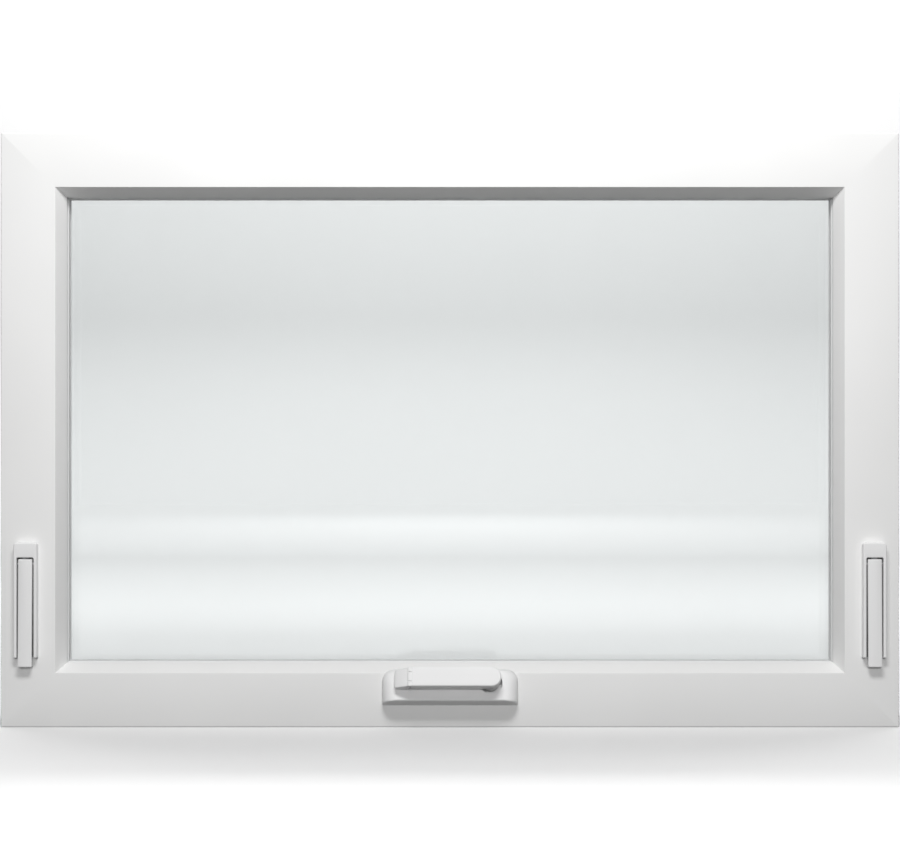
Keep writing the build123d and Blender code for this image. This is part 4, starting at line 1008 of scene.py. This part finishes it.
@dataclass
class SideLock:
    """A lever lock on one jamb: housing, lever and slot.

    Attributes:
        dresser: puts finishes on.
        palette: the finishes.
        hand: left or right.
        room: Y of the frame's room face.
        rise: how far the housing stands off the frame.
        base: thickness of the plate in the slot.
        cap: height of the housing above the slot.
        slot_half: half of the slot's width.
        pivot_z: height of the lever's pin.
        corner: radius of the housing's upper corners.
        floor_gap: how far the plate stays inside the housing's edge.
        lever_back: gap behind the lever.
        lever_play: gap that narrows the lever on each side.
        lever_edge: radius of the lever's edges.
        tip_lift: how far the lever's back is cut away at its tip.
        tip_length: length of that cut.
        roll_depth: thickness that is left at the end above the pin.
        roll_radius: length of the round there.
    """

    dresser: Dresser
    palette: Palette
    hand: str
    room: float
    rise: float = 8.6 * MM
    base: float = 2.0 * MM
    cap: float = 14.9 * MM
    slot_half: float = 8.45 * MM
    corner: float = 3.0 * MM
    pivot_z: float = 165 * MM
    floor_gap: float = 0.3 * MM
    lever_back: float = 2.4 * MM
    lever_play: float = 0.35 * MM
    lever_edge: float = 1.0 * MM
    tip_lift: float = 2.6 * MM
    tip_length: float = 30 * MM
    roll_depth: float = 4.6 * MM
    roll_radius: float = 4.5 * MM

    def flat(self, points: Array, height: float) -> Array:
        """Turn (x, z) plan points and a height off the face into places.

        Args:
            points: an (n, 2) array.
            height: distance off the frame's room face.
        Returns:
            An (n, 3) array of places.
        """
        x, z = points[:, 0], points[:, 1]
        return np.stack([x, 0 * x + self.room - height, z], axis=1)

    def arch(self, low: Vector, high: Vector) -> Callable[[float], Array]:
        """The housing's outline: an arch round the slot, open at its foot.

        Args:
            low: the housing's lowest corner.
            high: its highest corner.
        Returns:
            A function from an inset to (x, z) points.
        """
        middle = (low.x + high.x) / 2
        top = high.z - self.cap

        def at(inset: float) -> Array:
            """The arch with every edge drawn in by an inset."""
            x0, x1 = low.x + inset, high.x - inset
            s0, s1 = middle - self.slot_half - inset, middle + self.slot_half + inset
            z0, z1, slot_top = low.z + inset, high.z - inset, top + inset
            corners = [
                (x0, z0), (s0, z0), (s0, slot_top), (s1, slot_top),
                (s1, z0), (x1, z0), (x1, z1), (x0, z1),
            ]
            outer = max(self.corner - inset, 0.3 * MM)
            inner = 1.6 * MM + inset
            foot = 0.4 * MM
            radii = [foot, foot, inner, inner, foot, foot, outer, outer]
            return rounded(corners, radii, CORNER_STEPS)

        return at

    def housing(self) -> bpy.types.Object:
        """The arch of the housing."""
        low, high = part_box("lock_housing_" + self.hand)
        profile = [(0.0, 0.0), *soft_edge(0.0, self.rise, 1.1 * MM)]
        return stack(f"lock_arch_{self.hand}", self.arch(low, high), profile, self.flat)

    def floor(self) -> bpy.types.Object:
        """The plate at the bottom of the slot, near black as painted shade for the gap round the
        lever.

        Returns:
            The plate.
        """
        low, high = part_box("lock_housing_" + self.hand)
        gap = self.floor_gap
        outline = box_outline(
            low.x + gap, high.x - gap, low.z + gap, high.z - gap, gap, self.corner
        )
        profile = [(0.0, 0.0), (0.0, self.base)]
        return stack(f"lock_floor_{self.hand}", outline, profile, self.flat)

    def lever(self) -> bpy.types.Object:
        """The thumb lever: a long soft-edged bar, thinner at its tip, round at its pin.

        Near the tip its back lifts by the square of the nearness, and above the pin its
        front falls away as a quarter round.

        Returns:
            The lever.
        """
        low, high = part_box("lock_lever_" + self.hand)
        front = self.room - low.y
        side = self.lever_play
        outline = box_outline(
            low.x + side, high.x - side, low.z, high.z, 1.2 * MM, self.lever_edge
        )

        def shaped(points: Array, share: float) -> Array:
            """Place the points at a share of the lever's own thickness there."""
            x, z = points[:, 0], points[:, 1]
            near_tip = np.clip(1 - (z - low.z) / self.tip_length, 0, 1)
            rear = self.lever_back + self.tip_lift * near_tip**2
            over = np.clip(z - self.pivot_z, 0, None) / self.roll_radius
            roll = (front - self.roll_depth) * (1 - np.sqrt(np.clip(1 - over**2, 0, 1)))
            y = self.room - (rear + share * (front - roll - rear))
            return np.stack([x, y, z], axis=1)

        profile = [(0.8 * MM, 0.0), (0.15 * MM, 0.06), (0.0, 0.16)]
        turns = np.linspace(0, math.pi / 2, 6)
        radius = self.lever_edge
        profile += [(radius * (1 - math.cos(a)), 0.85 + 0.15 * math.sin(a)) for a in turns]
        return stack(f"lock_thumb_{self.hand}", outline, profile, shaped)

    def build(self) -> None:
        """Make this lock's visible pieces."""
        housing = self.housing()
        self.dresser.dress(housing, self.palette.lock)
        settle(housing, "frame", "lock_paint", "lock_housing_" + self.hand)
        floor = self.floor()
        # The plate's near-black finish is painted shade in the slot round the lever.
        self.dresser.dress(floor, self.palette.slot_plate_painted_shade)
        settle(floor, "frame", "lock_paint")
        lever = self.lever()
        self.dresser.dress(lever, self.palette.lock)
        settle(lever, "lock_" + self.hand, "lock_paint", "lock_lever_" + self.hand)


# ------------------------------------------------------------------ carried-over pieces


@dataclass
class Fittings:
    """Finishes for the pieces whose plain shape stays.

    Attributes:
        dresser: puts finishes on.
        palette: the finishes.
        table: the start of a node's name, and its finish's name.
    """

    dresser: Dresser
    palette: Palette
    table: dict[str, str] = field(
        default_factory=lambda: {
            "glass_": "glass",
            "glass_spacer": "spacer",
            "frame_weatherstrip": "seal",
            "glazing_gasket": "gasket",
            "glazing_tape": "gasket",
            "setting_blocks": "rubber",
            "stile_stiffeners": "alloy",
            "rail_stiffeners": "alloy",
            "weep_covers": "cover",
            "hinge_track": "strip",
            "support_arm": "strip",
            "sash_plates": "strip",
            "keepers": "strip",
            "shoe_": "nylon",
            "gear_arm": "plate",
            "link_left": "plate",
            "link_right": "plate",
            "lock_hook": "plate",
            "worm_shaft": "turned",
            "operator_case": "casting",
            "sash_bracket": "casting",
            "bracket_ears": "casting",
        }
    )

    def finish_for(self, node: str) -> Finish | ClearGlass:
        """The finish whose key is the longest start of the node's name.

        Args:
            node: a node's name.
        Returns:
            Its finish, or turned steel for pins and screws.
        """
        keys = [key for key in self.table if node.startswith(key)]
        name = self.table[max(keys, key=len)] if keys else "turned"
        return getattr(self.palette, name)

    def build(self, nodes: dict[str, bpy.types.Object]) -> None:
        """Dress every node.

        Args:
            nodes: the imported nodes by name.
        """
        for node, piece in nodes.items():
            self.dresser.dress(piece, self.finish_for(node))


# ------------------------------------------------------------------ studio


@dataclass(frozen=True)
class Lamp:
    """One rectangular soft light.

    Attributes:
        name: the light's name.
        place: where it hangs.
        aim: the point that it faces.
        power: watts.
        size: width and height.
    """

    name: str
    place: Vector
    aim: Vector
    power: float
    size: tuple[float, float]


@dataclass
class Studio:
    """A pale sweep, soft lights and the front-on camera.

    Attributes:
        middle: the unit's centre.
        room: Y of the frame's room face.
        width: the unit's width.
        distance: camera to room face.
        sensor: the camera's sensor width.
        margin: the view's width over the unit's.
        ambient: strength of the even surrounding light.
        sweep_half: half of the sweep's width, and its reach in front.
        sweep_radius: radius of the curve from floor to wall.
        sweep_reach: where that curve begins.
        sweep_height: height of the wall.
        sweep_steps: points on the curve.
    """

    middle: Vector
    room: float
    width: float
    distance: float = 1.7
    sensor: float = 36.0
    margin: float = 1.0022
    ambient: float = 0.12
    sweep_half: float = 5.0
    sweep_radius: float = 0.6
    sweep_reach: float = 2.2
    sweep_height: float = 3.2
    sweep_steps: int = 24

    def lamps(self) -> tuple[Lamp, ...]:
        """The overhead and front lights, and those on the wall and the floor.

        Returns:
            The lamps in the order in which they are hung.
        """
        room = self.room
        overhead = Vector((0, room - 0.95, 1.3))
        front = Vector((0, room - 4.0, 1.3))
        wall = Vector((0, 1.0, 2.9))
        floor = Vector((0, 0.9, 2.4))
        return (
            Lamp("overhead_softbox", overhead, Vector((0, room, 0.45)), 15.0, (0.6, 0.3)),
            Lamp("front_softbox", front, self.middle, 58, (1.2, 0.8)),
            Lamp("backdrop_light", wall, Vector((0, 2.8, 0.9)), 95, (4.0, 0.8)),
            Lamp("floor_light", floor, Vector((0, 1.0, 0)), 25, (4.0, 1.2)),
        )

    def sweep(self) -> None:
        """A floor that curves up into a wall well behind the window.

        The section is flat, then a quarter circle, then upright, carried along X.
        """
        radius, reach, height = self.sweep_radius, self.sweep_reach, self.sweep_height
        turn = np.linspace(0, math.pi / 2, self.sweep_steps)
        half = self.sweep_half
        y = np.concatenate([[-half, -2.0], reach + radius * np.sin(turn), [reach + radius]])
        z = np.concatenate([[0.0, 0.0], radius * (1 - np.cos(turn)), [height]])
        left = np.stack([0 * y - half, y, z], axis=1)
        right = np.stack([0 * y + half, y, z], axis=1)
        n = len(y)
        faces = [[i, i + n, i + n + 1, i + 1] for i in range(n - 1)]
        mesh = bpy.data.meshes.new("studio_sweep")
        mesh.from_pydata(np.concatenate([left, right]).tolist(), [], faces)
        mesh.shade_smooth()
        sweep = bpy.data.objects.new("studio_sweep", mesh)
        bpy.context.scene.collection.objects.link(sweep)
        paint = bpy.data.materials.new("studio_paint")
        paint.use_nodes = True
        shader = paint.node_tree.nodes["Principled BSDF"]
        shader.inputs["Base Color"].default_value = (0.9, 0.9, 0.9, 1)
        shader.inputs["Roughness"].default_value = 0.9
        mesh.materials.append(paint)
        sweep.visible_diffuse = False

    def light(self, lamp: Lamp) -> None:
        """Add one rectangular soft light, hidden from reflections and from glass.

        Args:
            lamp: its place, aim, power and size.
        """
        data = bpy.data.lights.new(lamp.name, "AREA")
        data.shape = "RECTANGLE"
        data.size, data.size_y = lamp.size
        data.energy = lamp.power
        holder = bpy.data.objects.new(lamp.name, data)
        holder.location = lamp.place
        holder.rotation_euler = (lamp.aim - lamp.place).to_track_quat("-Z", "Y").to_euler()
        holder.visible_glossy = False
        holder.visible_transmission = False
        bpy.context.scene.collection.objects.link(holder)

    def build(self) -> None:
        """Set up the world, lights, sweep and camera."""
        world = bpy.data.worlds.new("studio_world")
        world.use_nodes = True
        sky = world.node_tree.nodes["Background"]
        sky.inputs["Color"].default_value = (1.0, 1.0, 1.0, 1)
        sky.inputs["Strength"].default_value = self.ambient
        bpy.context.scene.world = world
        bpy.context.scene.view_settings.view_transform = "Standard"
        self.sweep()
        for lamp in self.lamps():
            self.light(lamp)
        camera = bpy.data.cameras.new("front_camera")
        camera.sensor_width = self.sensor
        camera.lens = self.sensor * self.distance / (self.width * self.margin)
        holder = bpy.data.objects.new("front_camera", camera)
        holder.location = Vector((self.middle.x, self.room - self.distance, self.middle.z))
        holder.rotation_euler = (math.pi / 2, 0, 0)
        bpy.context.scene.collection.objects.link(holder)
        bpy.context.scene.camera = holder


def main() -> None:
    """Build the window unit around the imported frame."""
    logging.basicConfig(level=logging.INFO)
    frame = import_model()
    dresser, palette = Dresser(), Palette()
    Fittings(dresser, palette).build(frame["nodes"])
    window = WindowFrame(dresser, palette)
    window.build()
    low, high = window.corners()
    Sash(dresser, palette).build(low, high)
    Operator(dresser, palette, low.y).build()
    for hand in ("left", "right"):
        SideLock(dresser, palette, hand, low.y).build()
    middle = (low + high) / 2
    Studio(middle, low.y, high.x - low.x).build()


if __name__ == "__main__":
    main()
